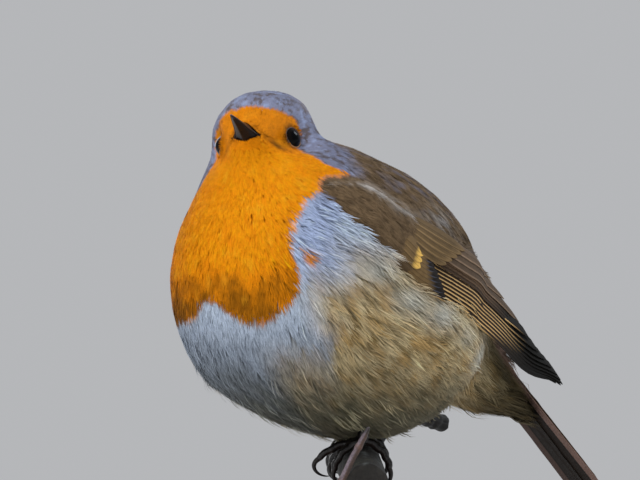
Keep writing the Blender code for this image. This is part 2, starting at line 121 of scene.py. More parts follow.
def noise(points, size, seed=0):
    """Smooth noise from -1 to 1 at an array of places, with lumps of about the given size."""
    q = points / size + 57.3 + seed * 13.7
    cell = np.floor(q).astype(np.int64)
    t = q - cell
    t = t * t * (3 - 2 * t)
    total = np.zeros(len(points))
    for corner in range(8):
        d = np.array([corner & 1, corner >> 1 & 1, corner >> 2 & 1])
        c = cell + d
        h = c[:, 0] * 374761393 + c[:, 1] * 668265263 + c[:, 2] * 974634777 + seed * 1013904223
        h = (h ^ (h >> 13)) * 1274126177 & 0xFFFFFFFF
        h = (h ^ (h >> 16)) & 0xFFFF
        share = np.prod(np.where(d == 1, t, 1 - t), axis=1)
        total += (h / 32767.5 - 1) * share
    return total


def table(x, pairs):
    """Straight-line reading of a curve given by a few pairs."""
    pairs = sorted(pairs)
    return np.interp(x, [p[0] for p in pairs], [p[1] for p in pairs])


def smooth_through(points, share):
    """The points at shares of the way along a smooth curve through places spaced evenly."""
    points = np.asarray(points, float)
    share = np.atleast_1d(np.asarray(share, float))
    at = np.clip(share, 0, 0.999999) * (len(points) - 1)
    i = at.astype(int)
    t = (at - i)[:, None]
    padded = np.vstack([2 * points[0] - points[1], points, 2 * points[-1] - points[-2]])
    p0, p1, p2, p3 = padded[i], padded[i + 1], padded[i + 2], padded[i + 3]
    bend = (p0 * 2 - p1 * 5 + p2 * 4 - p3) * t * t + (p1 * 3 - p0 - p2 * 3 + p3) * t**3
    return (p1 * 2 + (p2 - p0) * t + bend) / 2


def bell(x, wide):
    """1 at zero, falling smoothly away over a width on both sides."""
    return np.exp(-((x / wide) ** 2))


def nearness(places, centre, reach):
    """1 at a centre, falling smoothly away, with a reach along each axis."""
    return bell(lengths_of((places - np.asarray(centre)) / reach), 1)


def one_side(places, axis):
    """Places with those on the negative side of an axis mirrored to its positive side."""
    places = np.array(places)
    places[:, axis] = np.abs(places[:, axis])
    return places


def gathered(*parts):
    """Coordinates, stretched to one shape, as places."""
    return np.stack(np.broadcast_arrays(*parts), -1)


def shares(count):
    """Shares spaced evenly from 0 to 1."""
    return np.linspace(0, 1, count)


def round_turns(count):
    """Angles spaced evenly round a circle."""
    return np.linspace(0, 2 * math.pi, count, endpoint=False)


def nearest_of(places):
    """A search tree of places, which gives the nearest one and its number."""
    tree = KDTree(len(places))
    for number, place in enumerate(places):
        tree.insert(place, number)
    tree.balance()
    return tree


def to_metres(points):
    """Places in millimetres from the perch point as places in the frame."""
    return (np.asarray(points) + (0, 0, PERCH_TOP)) * MM


def mesh_of(name, points, faces, smooth=True):
    """A mesh from places in millimetres. faces: an array, or a list of arrays, of corner numbers."""
    faces = faces if isinstance(faces, list) else [faces]
    faces = [np.asarray(f) for f in faces if len(f)]
    mesh = bpy.data.meshes.new(name)
    mesh.vertices.add(len(points))
    mesh.vertices.foreach_set("co", to_metres(points).ravel())
    loops = np.concatenate([f.ravel() for f in faces])
    sizes = np.concatenate([np.full(len(f), f.shape[1]) for f in faces])
    mesh.loops.add(len(loops))
    mesh.loops.foreach_set("vertex_index", loops.astype(np.int32))
    mesh.polygons.add(len(sizes))
    mesh.polygons.foreach_set("loop_start", np.concatenate([[0], np.cumsum(sizes)[:-1]]).astype(np.int32))
    mesh.update(calc_edges=True)
    if smooth:
        mesh.shade_smooth()
    return mesh


def paint(mesh, name, colours):
    """Stores a colour for each point of the mesh."""
    rgba = np.ones((len(colours), 4), np.float32)
    rgba[:, :3] = colours
    made = mesh.attributes.new(name, "FLOAT_COLOR", "POINT")
    made.data.foreach_set("color", rgba.ravel())


def map_points(mesh, name, uv):
    """Stores a UV map given by point."""
    layer = mesh.uv_layers.new(name=name)
    corner = np.empty(len(mesh.loops), np.int32)
    mesh.loops.foreach_get("vertex_index", corner)
    layer.data.foreach_set("uv", uv[corner].astype(np.float32).ravel())


def place_piece(name, mesh, material, replaces=()):
    """Adds a piece of the visual model, which may replace CAD nodes."""
    obj = bpy.data.objects.new(name, mesh)
    bpy.context.scene.collection.objects.link(obj)
    mesh.materials.clear()
    mesh.materials.append(material)
    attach(obj, "root")
    if replaces:
        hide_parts(*replaces)
    return obj


# ---------------------------------------------------------------- head axes

HEAD_AT = np.array((5.1, -32.2, 71.2))
HEAD_YAW, HEAD_PITCH, HEAD_ROLL = 37.0, 23.0, -5.0
HEAD_AXES = np.array(
    Matrix.Rotation(math.radians(HEAD_YAW), 3, "Z")
    @ Matrix.Rotation(math.radians(-HEAD_PITCH), 3, "X")
    @ Matrix.Rotation(math.radians(HEAD_ROLL), 3, "Y")
    @ Matrix(((0, 1, 0), (-1, 0, 0), (0, 0, 1)))
)  # columns: forward, left, up
EYE_AT, EYE_RADIUS = (0.4, 6.95, 0.0), 3.4
EYE_AXIS = np.array((0.42, 1.0, 0.02))
LID_RING, LID_LEVEL = 2.45, 1.95  # the lids' middle radius, and how far out the skin meets them
BILL_BASE, BILL_TIP, BILL_UP = 6.0, 20.0, -2.0
BILL_RISE, BILL_DROP = 2.3, 1.6


def to_head(points):
    """Places in head axes: forward, left and up from the head's middle."""
    return (np.asarray(points) - HEAD_AT) @ HEAD_AXES


def from_head(points):
    """Places in head axes as places on the model."""
    return np.asarray(points) @ HEAD_AXES.T + HEAD_AT


def round_eye(h, side=1):
    """Distances out along an eye's axis, the ways off that axis, and the axis, all in head axes."""
    axis = unit(EYE_AXIS * (1, side, 1))
    q = h - np.array(EYE_AT) * (1, side, 1)
    out = q @ axis
    return out, q - axis * out[:, None], axis


BILL_ROOT = from_head((5.0, 0, -2.0))
FLOW_SOURCE = np.array((1.0, -27.0, 69.0))  # the trunk's feathers lie away from here, inside the head

# ---------------------------------------------------------------- wing shape

TRUNK = [
    (1.8, -1.0, 7.5, 7.0), (4.0, -2.2, 15.0, 13.5), (8.0, -4.0, 23.5, 21.0), (14.0, -6.4, 31.5, 27.5),
    (21.0, -7.0, 36.8, 31.5), (30.0, -8.3, 39.2, 33.2), (40.0, -9.8, 39.0, 33.0), (50.0, -10.4, 36.6, 31.0),
    (58.0, -12.0, 31.5, 27.0), (65.5, -15.5, 25.2, 21.5), (71.5, -21.0, 18.0, 15.5), (75.5, -24.0, 11.0, 9.5),
]
WING_LOWER = [
    (23.1, -27.4, 58.6), (28.0, -22.9, 52.0), (31.5, -15.0, 46.2), (32.9, -7.5, 37.5), (30.6, 5.5, 32.3),
    (28.0, 16.0, 28.6), (24.5, 25.8, 23.8), (17.0, 39.0, 17.4), (10.6, 50.8, 15.2),
]
WING_UPPER = [
    (23.4, -23.5, 61.0), (24.6, -14.5, 61.0), (27.2, -7.5, 56.5), (27.6, 2.0, 51.0), (23.8, 12.9, 46.6),
    (16.6, 22.0, 44.0), (9.8, 33.9, 38.4), (8.6, 42.5, 29.9), (10.3, 51.4, 16.0),
]
WING_PROUD, WING_CROWN = 1.6, 1.6


def wing_places(along, across):
    """Places on the left wing, at shares along it from shoulder to tip and across it from its lower edge."""
    along, across = np.broadcast_arrays(np.atleast_1d(along).astype(float), across)
    low, high = smooth_through(WING_LOWER, along), smooth_through(WING_UPPER, along)
    p = low + (high - low) * across[:, None]
    crown = 4 * across * (1 - across) * WING_CROWN * (1 - 0.5 * along)
    p[:, 0] += crown
    p[:, 2] += crown * 0.5
    heights = [row[0] for row in TRUNK]
    share = np.interp(p[:, 2], heights, np.arange(len(TRUNK))) / (len(TRUNK) - 1)
    middle, deep, wide = smooth_through([row[1:] for row in TRUNK], share).T
    side = wide * np.sqrt(np.clip(1 - ((p[:, 1] - middle) / deep) ** 2, 0, 1))
    edge = 1.0 - np.abs(2 * across - 1) ** 4
    proud = WING_PROUD * (0.35 + 0.65 * edge) * np.minimum(1.0, 0.3 + along * 6)
    p[:, 0] = np.where(side > 0, np.maximum(p[:, 0], side + proud), p[:, 0])
    return p


def wing_frames(along, across):
    """The ways outwards from the wing and towards its upper edge, at places on it."""
    step = 0.02
    a, c = np.clip(along, step, 1 - step), np.clip(across, step, 1 - step)
    forward = wing_places(a + step, c) - wing_places(a - step, c)
    upward = wing_places(a, c + step) - wing_places(a, c - step)
    return unit(np.cross(forward, upward)), unit(upward)


WING_GRID_ALONG, WING_GRID_ACROSS = (g.ravel() for g in np.meshgrid(shares(61), shares(21)))
WING_NEAR = nearest_of(wing_places(WING_GRID_ALONG, WING_GRID_ACROSS))
EDGE_NEAR = nearest_of(smooth_through(WING_UPPER, np.linspace(0, 0.62, 80)))
LOWER_NEAR = nearest_of(smooth_through(WING_LOWER, np.linspace(0.05, 0.72, 80)))
FAR_OFF = 99.0


def on_wing(places):
    """How far along and across the nearest wing places lie, and how far off it they are."""
    found = [WING_NEAR.find(p) for p in one_side(places, 0)]
    pick = [f[1] for f in found]
    return WING_GRID_ALONG[pick], WING_GRID_ACROSS[pick], np.array([f[2] for f in found])


def wing_lower_gap(places):
    """How far places are from the wing's lower edge."""
    return np.array([LOWER_NEAR.find(p)[2] for p in one_side(places, 0)])


def wing_upper_gap(p):
    """How far places lie above the wing's upper edge, about. Away from it the value is large."""
    gap = np.full(len(p), FAR_OFF)
    _, y, z = p.T
    by_it = (z > 34) & (y > -26) & (y < 34)
    for i, place in zip(np.flatnonzero(by_it), one_side(p[by_it], 0)):
        near, _, far = EDGE_NEAR.find(place)
        gap[i] = far if place[2] > near[2] else -far
    return gap


# ---------------------------------------------------------------- tail shape

TAIL_PITCH, TAIL_ROOT, TAIL_LENGTH = math.radians(46.0), np.array((0.0, 27.5, 34.5)), 64.0
TAIL_ROOT_WIDTH, TAIL_END_WIDTH = 11.5, 15.5
TAIL_BACK = np.array((0, math.cos(TAIL_PITCH), -math.sin(TAIL_PITCH)))
TAIL_OUT = np.array((0, math.sin(TAIL_PITCH), math.cos(TAIL_PITCH)))


def to_tail(p):
    """Places as distances along the tail from its root, across it, and above it."""
    q = p - TAIL_ROOT
    return q @ TAIL_BACK, q[:, 0], q @ TAIL_OUT


# ---------------------------------------------------------------- markings

ORANGE = linear(246, 146, 0)
ORANGE_DEEP = linear(136, 82, 0)
ORANGE_PALE = linear(255, 172, 30)
SLATE = linear(126, 130, 154)
SLATE_PALE = linear(160, 176, 214)
SPECKLE = linear(86, 70, 58)
WHITE = linear(188, 201, 219)
CREAM_WHITE = linear(200, 197, 184)
CREAM = linear(202, 182, 140)
BUFF = linear(182, 149, 94)
OLIVE = linear(108, 92, 58)
BROWN = linear(122, 100, 74)
BROWN_DARK = linear(74, 58, 41)
# pale grey: a painted highlight along the scapulars, and a hoary patch above the wing
SCAPULAR_PALE_AND_HIGHLIGHT = linear(196, 190, 184)
SHADE = linear(84, 84, 70)
WARM_GREY = linear(150, 139, 140)
# painted shade for a fold of the face and the hollow in front of the eye
FACE_SHADE = linear(50, 32, 13)

# Half angle round the head, from its middle line, out to which it is orange: by height in head axes.
FACE_EDGE = [
    (6.6, 12), (6.2, 26), (5.0, 43), (3.4, 50), (1.7, 55), (-2, 53), (-3.5, 55), (-5.6, 60),
    (-7, 66), (-8.2, 77), (-11, 72), (-15, 61), (-18, 50), (-22, 47), (-30, 44),
]
# The same round the trunk for the bib, by height: on the bird's left, and on its right.
BIB_LEFT = [(27, 34), (29, 39), (32, 45), (39, 46), (46, 42), (53, 44), (57, 47), (60, 56), (64, 66)]
BIB_RIGHT = [(27, 30), (30, 36), (34, 41), (46, 40), (55, 42), (60, 52), (64, 62)]
# Lower edge of the bib by angle round the trunk, left positive.
BIB_BOTTOM = [
    (-46, 36), (-38, 31), (-28, 28.5), (-14, 28.6), (-4, 28.5), (2, 30), (8, 33.6), (13, 32.8),
    (20, 29), (27, 27.2), (34, 28), (41, 31), (48, 36),
]
# Whitish places in the flank on each side: centre, reach, strength.
PALE_SPOTS = (
    ((32.4, -15.7, 40.5), (4, 5, 3.5), 1.1),
    ((33.1, -7.6, 33.6), (4, 5, 3.5), 1.0),
    ((31.9, 1.7, 30.3), (4, 5.5, 3.5), 1.1),
    ((27.9, 11.6, 25.9), (4, 4, 3), 0.6),
    ((30.0, -26.0, 40.0), (5, 5, 6), 0.8),
    ((21.0, 21.5, 21.5), (6.5, 5.5, 5), 1.0),
)
# painted shade for the vent under the tail, and the tail's pale outer edge
VENT_SHADE, TAIL_RIM = linear(70, 63, 43), linear(132, 106, 96)
GAPE_START, GAPE_END = np.array((6.5, 4.3, -2.6)), np.array((2.6, 8.4, -4.6))
# Height above which the back is brown, by place along the body.
BACK_EDGE = [(-24, 60), (-10, 55), (0, 48), (20, 36), (34, 29), (50, 14), (70, -8)]
TRUNK_MIDDLE = -9


def trunk_angle(p):
    """Angle round the trunk from its front, in degrees, left positive."""
    return np.degrees(np.arctan2(p[:, 0], -(p[:, 1] - TRUNK_MIDDLE)))


def orange_depth(p):
    """How far inside the orange a place lies, in about millimetres. Outside it is negative."""
    h = to_head(p)
    forward, left, up = h.T
    round_head = np.degrees(np.arctan2(np.abs(left), forward + 8))
    round_head = round_head - 12 * smoothstep(-1, -7, left)  # it reaches further back on the right
    face = (table(up, FACE_EDGE) - round_head) * 0.22
    face = np.minimum(face, 5.2 - up)
    angle = trunk_angle(p)
    z = p[:, 2]
    inside = np.where(angle > 0, table(z, BIB_LEFT) - angle, table(z, BIB_RIGHT) + angle) * 0.55
    bib = np.minimum(inside, (z - table(angle, BIB_BOTTOM)) * 0.95)
    return mix(bib[:, None], face[:, None], smoothstep(54, 60, z))[:, 0]


def under_colour(p):
    """Whitish belly and buff flanks, with painted shade low on the belly and at the vent, and a painted
    shadow under the wing's lower edge.
    """
    _, y, z = p.T
    # painted shade: the belly's white darkens towards the bottom
    colour = WHITE * (1 - 0.42 * smoothstep(34, 16, z + noise(p, 5, 26) * 3))[:, None]
    angle = np.abs(trunk_angle(p))
    flank = smoothstep(48, 64, angle + noise(p, 5, 3) * 8) * smoothstep(50, 40, z)
    flank = np.maximum(flank, smoothstep(24, 42, angle) * smoothstep(26, 12, z) * 0.8)
    streak = noise(p * (1, 1, 0.5), 1.5, 4) * 0.6 + noise(p, 4.0, 14) * 0.4
    warm = mix(CREAM, BUFF, smoothstep(-0.3, 0.4, streak) * 0.95)
    olive = noise(p, 1.8, 5) * 0.6 + noise(p, 0.9, 31) * 0.5
    warm = mix(warm, OLIVE, smoothstep(0.0, 0.6, olive) * 0.75)
    mirrored = one_side(p, 0)
    for centre, reach, strength in PALE_SPOTS:
        warm = mix(warm, CREAM_WHITE, np.clip(nearness(mirrored, centre, reach) * strength, 0, 1))
    colour = mix(colour, warm, flank)
    # painted shade under the belly
    low = smoothstep(24, 5, z + noise(p, 4, 15) * 2.5) * smoothstep(30, 20, y)
    colour = mix(colour, SHADE, low * 0.9)
    # painted shade at the vent, under the tail
    vent = smoothstep(22, 34, y + noise(p, 4, 16) * 3) * smoothstep(30, 20, z)
    colour = mix(colour, VENT_SHADE, vent * 0.85)
    # painted shadow under the wing's lower edge, on the rear flank
    hind = np.flatnonzero((y > 12) & (z > 10) & (z < 38))
    if len(hind):
        shade = 0.6 * bell(wing_lower_gap(p[hind]), 2.8) * smoothstep(12, 20, y[hind])
        colour[hind] *= (1 - shade)[:, None]
    # the tail's paler edges show through the coverts, with shade under them
    along, across, high = to_tail(p)
    edge = smoothstep(3, 9, along) * smoothstep(2.6, 4.4, np.abs(across))
    colour = mix(colour, colour * 0.5, edge * bell(high + 5.5, 1.6))
    return mix(colour, TAIL_RIM, edge * smoothstep(-4.4, -2.6, high) * 0.85)


def neck_colour(p, h):
    """Grey, speckled crown, nape and sides of the neck."""
    forward, _, up = h.T
    flecks = smoothstep(0.05, 0.55, noise(p, 1.0, 6) + noise(p, 0.6, 17) * 0.5)
    slate = mix(SLATE, SPECKLE, flecks * 0.75)
    slate = mix(slate, SLATE_PALE, smoothstep(0.2, 0.7, noise(p, 1.3, 18)) * 0.4)
    slate = slate * (1 - 0.2 * smoothstep(6, 10, up) * smoothstep(-10, -4, forward))[:, None]
    return mix(slate, WARM_GREY, nearness(h, (-6, 8.9, 11), (3.5, 3, 3.5)) * 0.6)


def before_wing(p, wing):
    """How far the body's plumage just before a wing takes the wing's colours."""
    share = np.zeros(len(p))
    x, y, z = p.T
    beside = (np.abs(x) > 14) & (y > -36) & (y < 0) & (z > 40)
    front = np.flatnonzero(beside & (wing < 1))
    if len(front):
        _, across, off = on_wing(p[front])
        ragged = across + noise(p[front], 1.5, 29) * 0.06
        share[front] = smoothstep(3.4, 2.0, off) * smoothstep(0.08, 0.24, ragged)
    return share


def back_colour(p, wing):
    """Brown back and wing coverts, with a painted highlight along the scapulars."""
    brown = mix(BROWN, BROWN_DARK, smoothstep(-0.3, 0.7, noise(p, 0.9, 8) * 0.8) * 0.7)
    brown = mix(brown, SLATE, (1 - wing) * smoothstep(0.0, 0.8, noise(p, 2.2, 19)) * 0.42)
    brown = brown * (1 - 0.16 * wing)[:, None]
    # a painted highlight along the scapulars' ridge, over the wing's upper edge
    high = wing_upper_gap(p)
    to_rear = smoothstep(-20, -14, p[:, 1])
    pale = bell(high + 0.5 + 0.9 * to_rear, 0.8 + 1.2 * to_rear) * smoothstep(-0.6, 0.3, noise(p, 1.6, 20))
    brown = mix(brown, SCAPULAR_PALE_AND_HIGHLIGHT, pale * (0.45 + 0.35 * to_rear))
    beside = smoothstep(0.8, 2.6, high) * smoothstep(7, 4, high) * (1 - wing)
    brown = brown * (1 - 0.2 * beside)[:, None]
    hoary = nearness(one_side(p, 0), (25, 6, 53.5), (5, 6, 3.6)) * smoothstep(-0.5, 0.3, noise(p, 1.5, 30))
    return mix(brown, SCAPULAR_PALE_AND_HIGHLIGHT * 0.75, hoary * 0.6)


def orange_colour(p, h):
    """Orange face and bib, with painted shade low on the bib and on its right side, over the brow, along a
    fold back from the mouth and in front of the eye.
    """
    x, _, z = p.T
    forward, left, up = h.T
    # painted shade: deeper orange low on the bib and more so on the bird's right side, with random mottling
    # on top
    low = smoothstep(46, 28, z + noise(p, 4, 9) * 5)
    deep = low * (0.95 + 0.25 * smoothstep(-2, -14, x))
    deep = deep + noise(p, 2.2, 10) * 0.14 + low * noise(p, 1.4, 21) * 0.35
    orange = mix(ORANGE, ORANGE_DEEP, np.clip(deep, 0, 1))
    orange = mix(orange, ORANGE_PALE, smoothstep(0.2, 0.8, noise(p, 2.2, 12)) * 0.35)
    # painted shade over the brow
    brow = smoothstep(-6.0, -1.0, up) * smoothstep(-6, 0, forward)
    orange = orange * (1 - 0.30 * brow - 0.07 * noise(p, 1.0, 28) * brow)[:, None]
    # painted shade along a fold back from the corner of the mouth
    mouth = one_side(h, 1)
    run = GAPE_END - GAPE_START
    share = np.clip((mouth - GAPE_START) @ run / (run @ run), -0.2, 1)
    off = lengths_of(mouth - GAPE_START - run * share[:, None])
    line = bell(off, 0.7) * (1.0 - 0.25 * share) * (1 - 0.6 * smoothstep(0, -2, left))
    orange = mix(orange, FACE_SHADE, np.clip(line, 0, 1))
    # painted shade in front of the eye
    _, around, _ = round_eye(mouth)
    far = lengths_of(around)
    rim = bell(far - 2.7, 0.8) * smoothstep(-0.2, 0.6, around[:, 0] / np.maximum(far, 0.1))
    return mix(orange, FACE_SHADE, rim * 0.6)


def markings_and_painted_light(p, wing):
    """The plumage's colour at places on the skin, with painted light and shade. wing is 1 on a wing and 0 on
    the body.
    """
    depth = orange_depth(p) + (noise(p, 3.2, 1) * 0.5 + noise(p, 1.4, 2) * 0.5) * 0.8
    h = to_head(p)
    _, y, z = p.T
    # blue-grey side of the breast, next to the orange
    beside = bell(depth + 4, 8) * smoothstep(33, 44, z)
    colour = mix(under_colour(p), SLATE_PALE, beside * 0.8)
    colour = mix(colour, neck_colour(p, h), smoothstep(55, 60, z))
    above = smoothstep(-2, 3, z - table(y, BACK_EDGE))
    back = smoothstep(-18, -11.5, y + noise(p, 3, 7) * 2) * above
    wing = np.maximum(wing, before_wing(p, wing))
    colour = mix(colour, back_colour(p, wing), np.maximum(back, wing))
    colour = mix(colour, orange_colour(p, h), smoothstep(-0.5, 0.5, depth) * (1 - wing))
    stray = lengths_of(p - (26.9, -31.5, 43.2))  # an orange fleck beside the bib
    return mix(colour, ORANGE * 0.9, np.exp(-((stray / 1.7) ** 4)))


# ---------------------------------------------------------------- materials


def new_material(name):
    """A new material with its node tree and shader."""
    made = bpy.data.materials.new(name)
    made.use_nodes = True
    return made, made.node_tree, made.node_tree.nodes["Principled BSDF"]


def add(tree, kind, **inputs):
    """A new node. inputs: its inputs or settings by name, with _ for spaces."""
    node = tree.nodes.new(kind)
    for key, value in inputs.items():
        name = key.replace("_", " ")
        if name in node.inputs:
            node.inputs[name].default_value = value
        else:
            setattr(node, key, value)
    return node


def coordinate(tree, scale=(1, 1, 1)):
    """Object coordinates in millimetres, stretched by scale."""
    source = add(tree, "ShaderNodeTexCoord")
    place = add(tree, "ShaderNodeMapping", Scale=[s * 1000 for s in scale])
    tree.links.new(source.outputs["Object"], place.inputs["Vector"])
    return place.outputs["Vector"]


def feed(tree, socket, value):
    """Links a node's output to a socket, or gives the socket a value."""
    if isinstance(value, bpy.types.NodeSocket):
        tree.links.new(value, socket)
    else:
        socket.default_value = value


def maths(tree, operation, *values):
    """What a maths node makes of other nodes' outputs and numbers."""
    node = add(tree, "ShaderNodeMath", operation=operation)
    for socket, value in zip(node.inputs, values):
        feed(tree, socket, value)
    return node.outputs[0]


def blended(tree, share, first, second, blend="MIX"):
    """Two colours blended by a share."""
    node = tree.nodes.new("ShaderNodeMix")
    node.data_type, node.blend_type = "RGBA", blend
    for socket, value in ((0, share), (6, first), (7, second)):
        feed(tree, node.inputs[socket], value)
    return node.outputs[2]


def multiplied(tree, colour, factor):
    """A colour times a grey factor."""
    return blended(tree, 1.0, colour, factor, "MULTIPLY")


def ramp(tree, source, stops):
    """A value turned into greys or colours by stops of position and colour."""
    node = tree.nodes.new("ShaderNodeValToRGB")
    tree.links.new(source, node.inputs[0])
    bar = node.color_ramp.elements
    bar[0].position, bar[1].position = stops[0][0], stops[-1][0]
    for position, _ in stops[1:-1]:
        bar.new(position)
    for element, (_, colour) in zip(bar, stops):
        colour = (colour,) * 3 if isinstance(colour, (int, float)) else tuple(colour)
        element.color = (*colour, 1)
    return node.outputs["Color"]


def bump(tree, shader, height, distance, strength):
    """Bump on a shader from a height, over a distance in millimetres."""
    node = add(tree, "ShaderNodeBump", Distance=distance * MM, Strength=strength)
    tree.links.new(height, node.inputs["Height"])
    tree.links.new(node.outputs["Normal"], shader.inputs["Normal"])


NOISE, VORONOI = "ShaderNodeTexNoise", "ShaderNodeTexVoronoi"


def texture(tree, kind, stretch=(1, 1, 1), **settings):
    """The value of a procedural texture over places in millimetres."""
    node = add(tree, kind, **settings)
    tree.links.new(coordinate(tree, stretch), node.inputs["Vector"])
    return node.outputs["Distance" if kind == VORONOI else "Fac"]


def attribute(tree, name, output="Color"):
    """An attribute of the mesh, as a colour or a number."""
    return add(tree, "ShaderNodeAttribute", attribute_name=name).outputs[output]


def preset(node, values):
    """Sets inputs of a node by name."""
    for name, value in values.items():
        node.inputs[name].default_value = value


def painted(name, kind, stops, values, height=None, stretch=(1, 1, 1), gloss=None, **settings):
    """A mesh's painted colour times a fine texture, which may also make bump and play of gloss.

    values: constant inputs of the shader; height: the bump's distance and strength; gloss: its roughness.
    """
    made, tree, shader = new_material(name)
    preset(shader, values)
    grain = texture(tree, kind, stretch, **settings)
    tinted = multiplied(tree, attribute(tree, "plumage"), ramp(tree, grain, stops))
    tree.links.new(tinted, shader.inputs["Base Color"])
    if gloss:
        tree.links.new(ramp(tree, grain, gloss), shader.inputs["Roughness"])
    if height:
        bump(tree, shader, grain, *height)
    return made


def plumage_material(name, grain):
    """Painted colour with fine mottling, and bump of hair-fine barbs."""
    return painted(
        name, NOISE, [(0.3, 0.86), (0.7, 1.0)], {"Roughness": 0.82, "Specular IOR Level": 0.12},
        (0.12, 0.5), (grain, grain, grain), Scale=1.0, Detail=3.0,
    )


# ---------------------------------------------------------------- skin

FLESH = ("head", "neck", "breast", "trunk", "rump")
SHOULDERS = ("wing_left_coverts", "wing_right_coverts")
VOXEL = 0.8
FLESH_GROWTH, SHOULDER_GROWTH = 0.0003, 0.00005  # in metres, so that the solids overlap


def joined_flesh():
    """The flesh nodes and the wings' shoulders as one closed smooth surface, in millimetres."""
    bm = bmesh.new()
    for name in FLESH + SHOULDERS:
        part = bmesh.new()
        part.from_mesh(NODES[name].data)
        part.normal_update()
        grow = FLESH_GROWTH if name in FLESH else SHOULDER_GROWTH
        moves = [v.normal * grow for v in part.verts]
        for vert, move in zip(part.verts, moves):
            vert.co += move
        mesh = bpy.data.meshes.new("part")
        part.to_mesh(mesh)
        part.free()
        bm.from_mesh(mesh)
        bpy.data.meshes.remove(mesh)
    mesh = bpy.data.meshes.new("flesh")
    bm.to_mesh(mesh)
    bm.free()
    obj = bpy.data.objects.new("flesh", mesh)
    bpy.context.scene.collection.objects.link(obj)
    remesh = obj.modifiers.new("remesh", "REMESH")
    remesh.mode, remesh.voxel_size = "VOXEL", VOXEL * MM
    even = obj.modifiers.new("even", "SMOOTH")
    even.factor, even.iterations = 0.5, 6
    graph = bpy.context.evaluated_depsgraph_get()
    made = bpy.data.meshes.new_from_object(obj.evaluated_get(graph))
    bpy.data.objects.remove(obj)
    return made


def mesh_arrays(mesh):
    """Points in millimetres, normals, and triangles of a mesh."""
    mesh.calc_loop_triangles()
    points = np.empty(len(mesh.vertices) * 3)
    mesh.vertices.foreach_get("co", points)
    normals = np.empty(len(mesh.vertices) * 3)
    mesh.vertex_normals.foreach_get("vector", normals)
    triangles = np.empty(len(mesh.loop_triangles) * 3, np.int32)
    mesh.loop_triangles.foreach_get("vertices", triangles)
    return points.reshape(-1, 3) / MM - (0, 0, PERCH_TOP), normals.reshape(-1, 3), triangles.reshape(-1, 3)


class Surface:
    """A closed surface that places can be dropped onto."""

    def __init__(self, points, normals, triangles):
        self.points, self.normals, self.triangles = points, normals, triangles
        self.tree = BVHTree.FromPolygons(points.tolist(), triangles.tolist())
        self.near = nearest_of(points)

    def drop(self, places):
        """The nearest places on the surface, and its smooth normals there."""
        found, ups = np.empty_like(places), np.empty_like(places)
        for i, p in enumerate(places):
            found[i] = self.tree.find_nearest(p)[0]
            ups[i] = self.normals[self.near.find(found[i])[1]]
        return found, ups


# Tracts of feathers: centre, reach, then the feathers' length, width, spacing, depth of coat and looseness.
# Centres marked True are in head axes. Each is mirrored to the other side.
TRACTS = {
    "lores": ((6, 2, -0.5), True, 4.5, (1.5, 0.8, 0.62, 0.35, 0.1)),
    "forehead": ((6, 0, 5), True, 5, (1.9, 1.0, 0.75, 0.4, 0.1)),
    "crown": ((-7, 0, 15), True, 9, (2.7, 1.5, 1.0, 0.5, 0.2)),
    "eye": ((0, 11, 0), True, 4, (1.5, 0.8, 0.6, 0.35, 0.1)),
    "cheek": ((-3, 12, -7), True, 6, (2.5, 1.2, 0.9, 0.6, 0.3)),
    "chin": ((5, 0, -7), True, 5, (2.2, 1.1, 0.85, 0.5, 0.2)),
    "throat": ((0, 0, -16), True, 8, (3.2, 1.6, 1.1, 0.8, 0.3)),
    "nape": ((-19, 0, 2), True, 9, (3.8, 1.9, 1.2, 0.9, 0.4)),
    "breast": ((6, -45, 42), False, 14, (4.4, 2.2, 1.25, 1.1, 0.22)),
    "breast low": ((4, -44, 32), False, 8, (5.2, 2.2, 1.3, 1.2, 0.5)),
    "breast side": ((27, -30, 48), False, 8, (6.5, 2.0, 1.3, 1.3, 0.9)),
    "belly front": ((0, -42, 22), False, 11, (6.5, 2.4, 1.45, 1.6, 0.7)),
    "belly": ((0, -8, 3), False, 13, (7.5, 2.6, 1.6, 1.6, 0.9)),
    "flank": ((32, -8, 28), False, 13, (8.0, 2.2, 1.4, 1.7, 1.0)),
    "flank rear": ((22, 18, 22), False, 9, (9.0, 2.4, 1.5, 2.0, 1.0)),
    "vent": ((0, 32, 14), False, 10, (12.0, 2.8, 1.6, 1.4, 0.7)),
    "mantle": ((8, 6, 66), False, 12, (5.2, 2.6, 1.45, 1.1, 0.25)),
    "back": ((0, 27, 50), False, 11, (6.0, 2.8, 1.5, 1.2, 0.3)),
    "rump": ((0, 37, 36), False, 9, (8.0, 2.8, 1.6, 1.3, 0.6)),
    "shoulder": ((33, -10, 47), False, 9, (4.4, 2.2, 1.25, 0.8, 0.2)),
}


def tract_values(p):
    """Length, width, spacing, coat depth and looseness of the feathers at places."""
    total, weights = np.zeros((len(p), 5)), np.zeros(len(p))
    h = to_head(p)
    mirrored = {True: one_side(h, 1), False: one_side(p, 0)}
    for centre, in_head, reach, values in TRACTS.values():
        far = lengths_of(mirrored[in_head] - centre)
        weight = 1 / (1e-3 + (far / reach) ** 4)
        total += np.array(values) * weight[:, None]
        weights += weight
    return total / weights[:, None]


# Where the feathers are swept aside from that lie: centre, reach and push.
SWEEPS = (
    ((27, -28, 48), (9, 11, 11), (0.45, 0.9, 0.1)),
    ((33, -8, 26), (14, 17, 16), (0.0, 0.75, 0.05)),
    ((24, 16, 22), (12, 12, 12), (0.0, 0.45, 0.1)),
    ((0, 30, 14), (22, 14, 12), (0.0, 0.7, -0.5)),
)


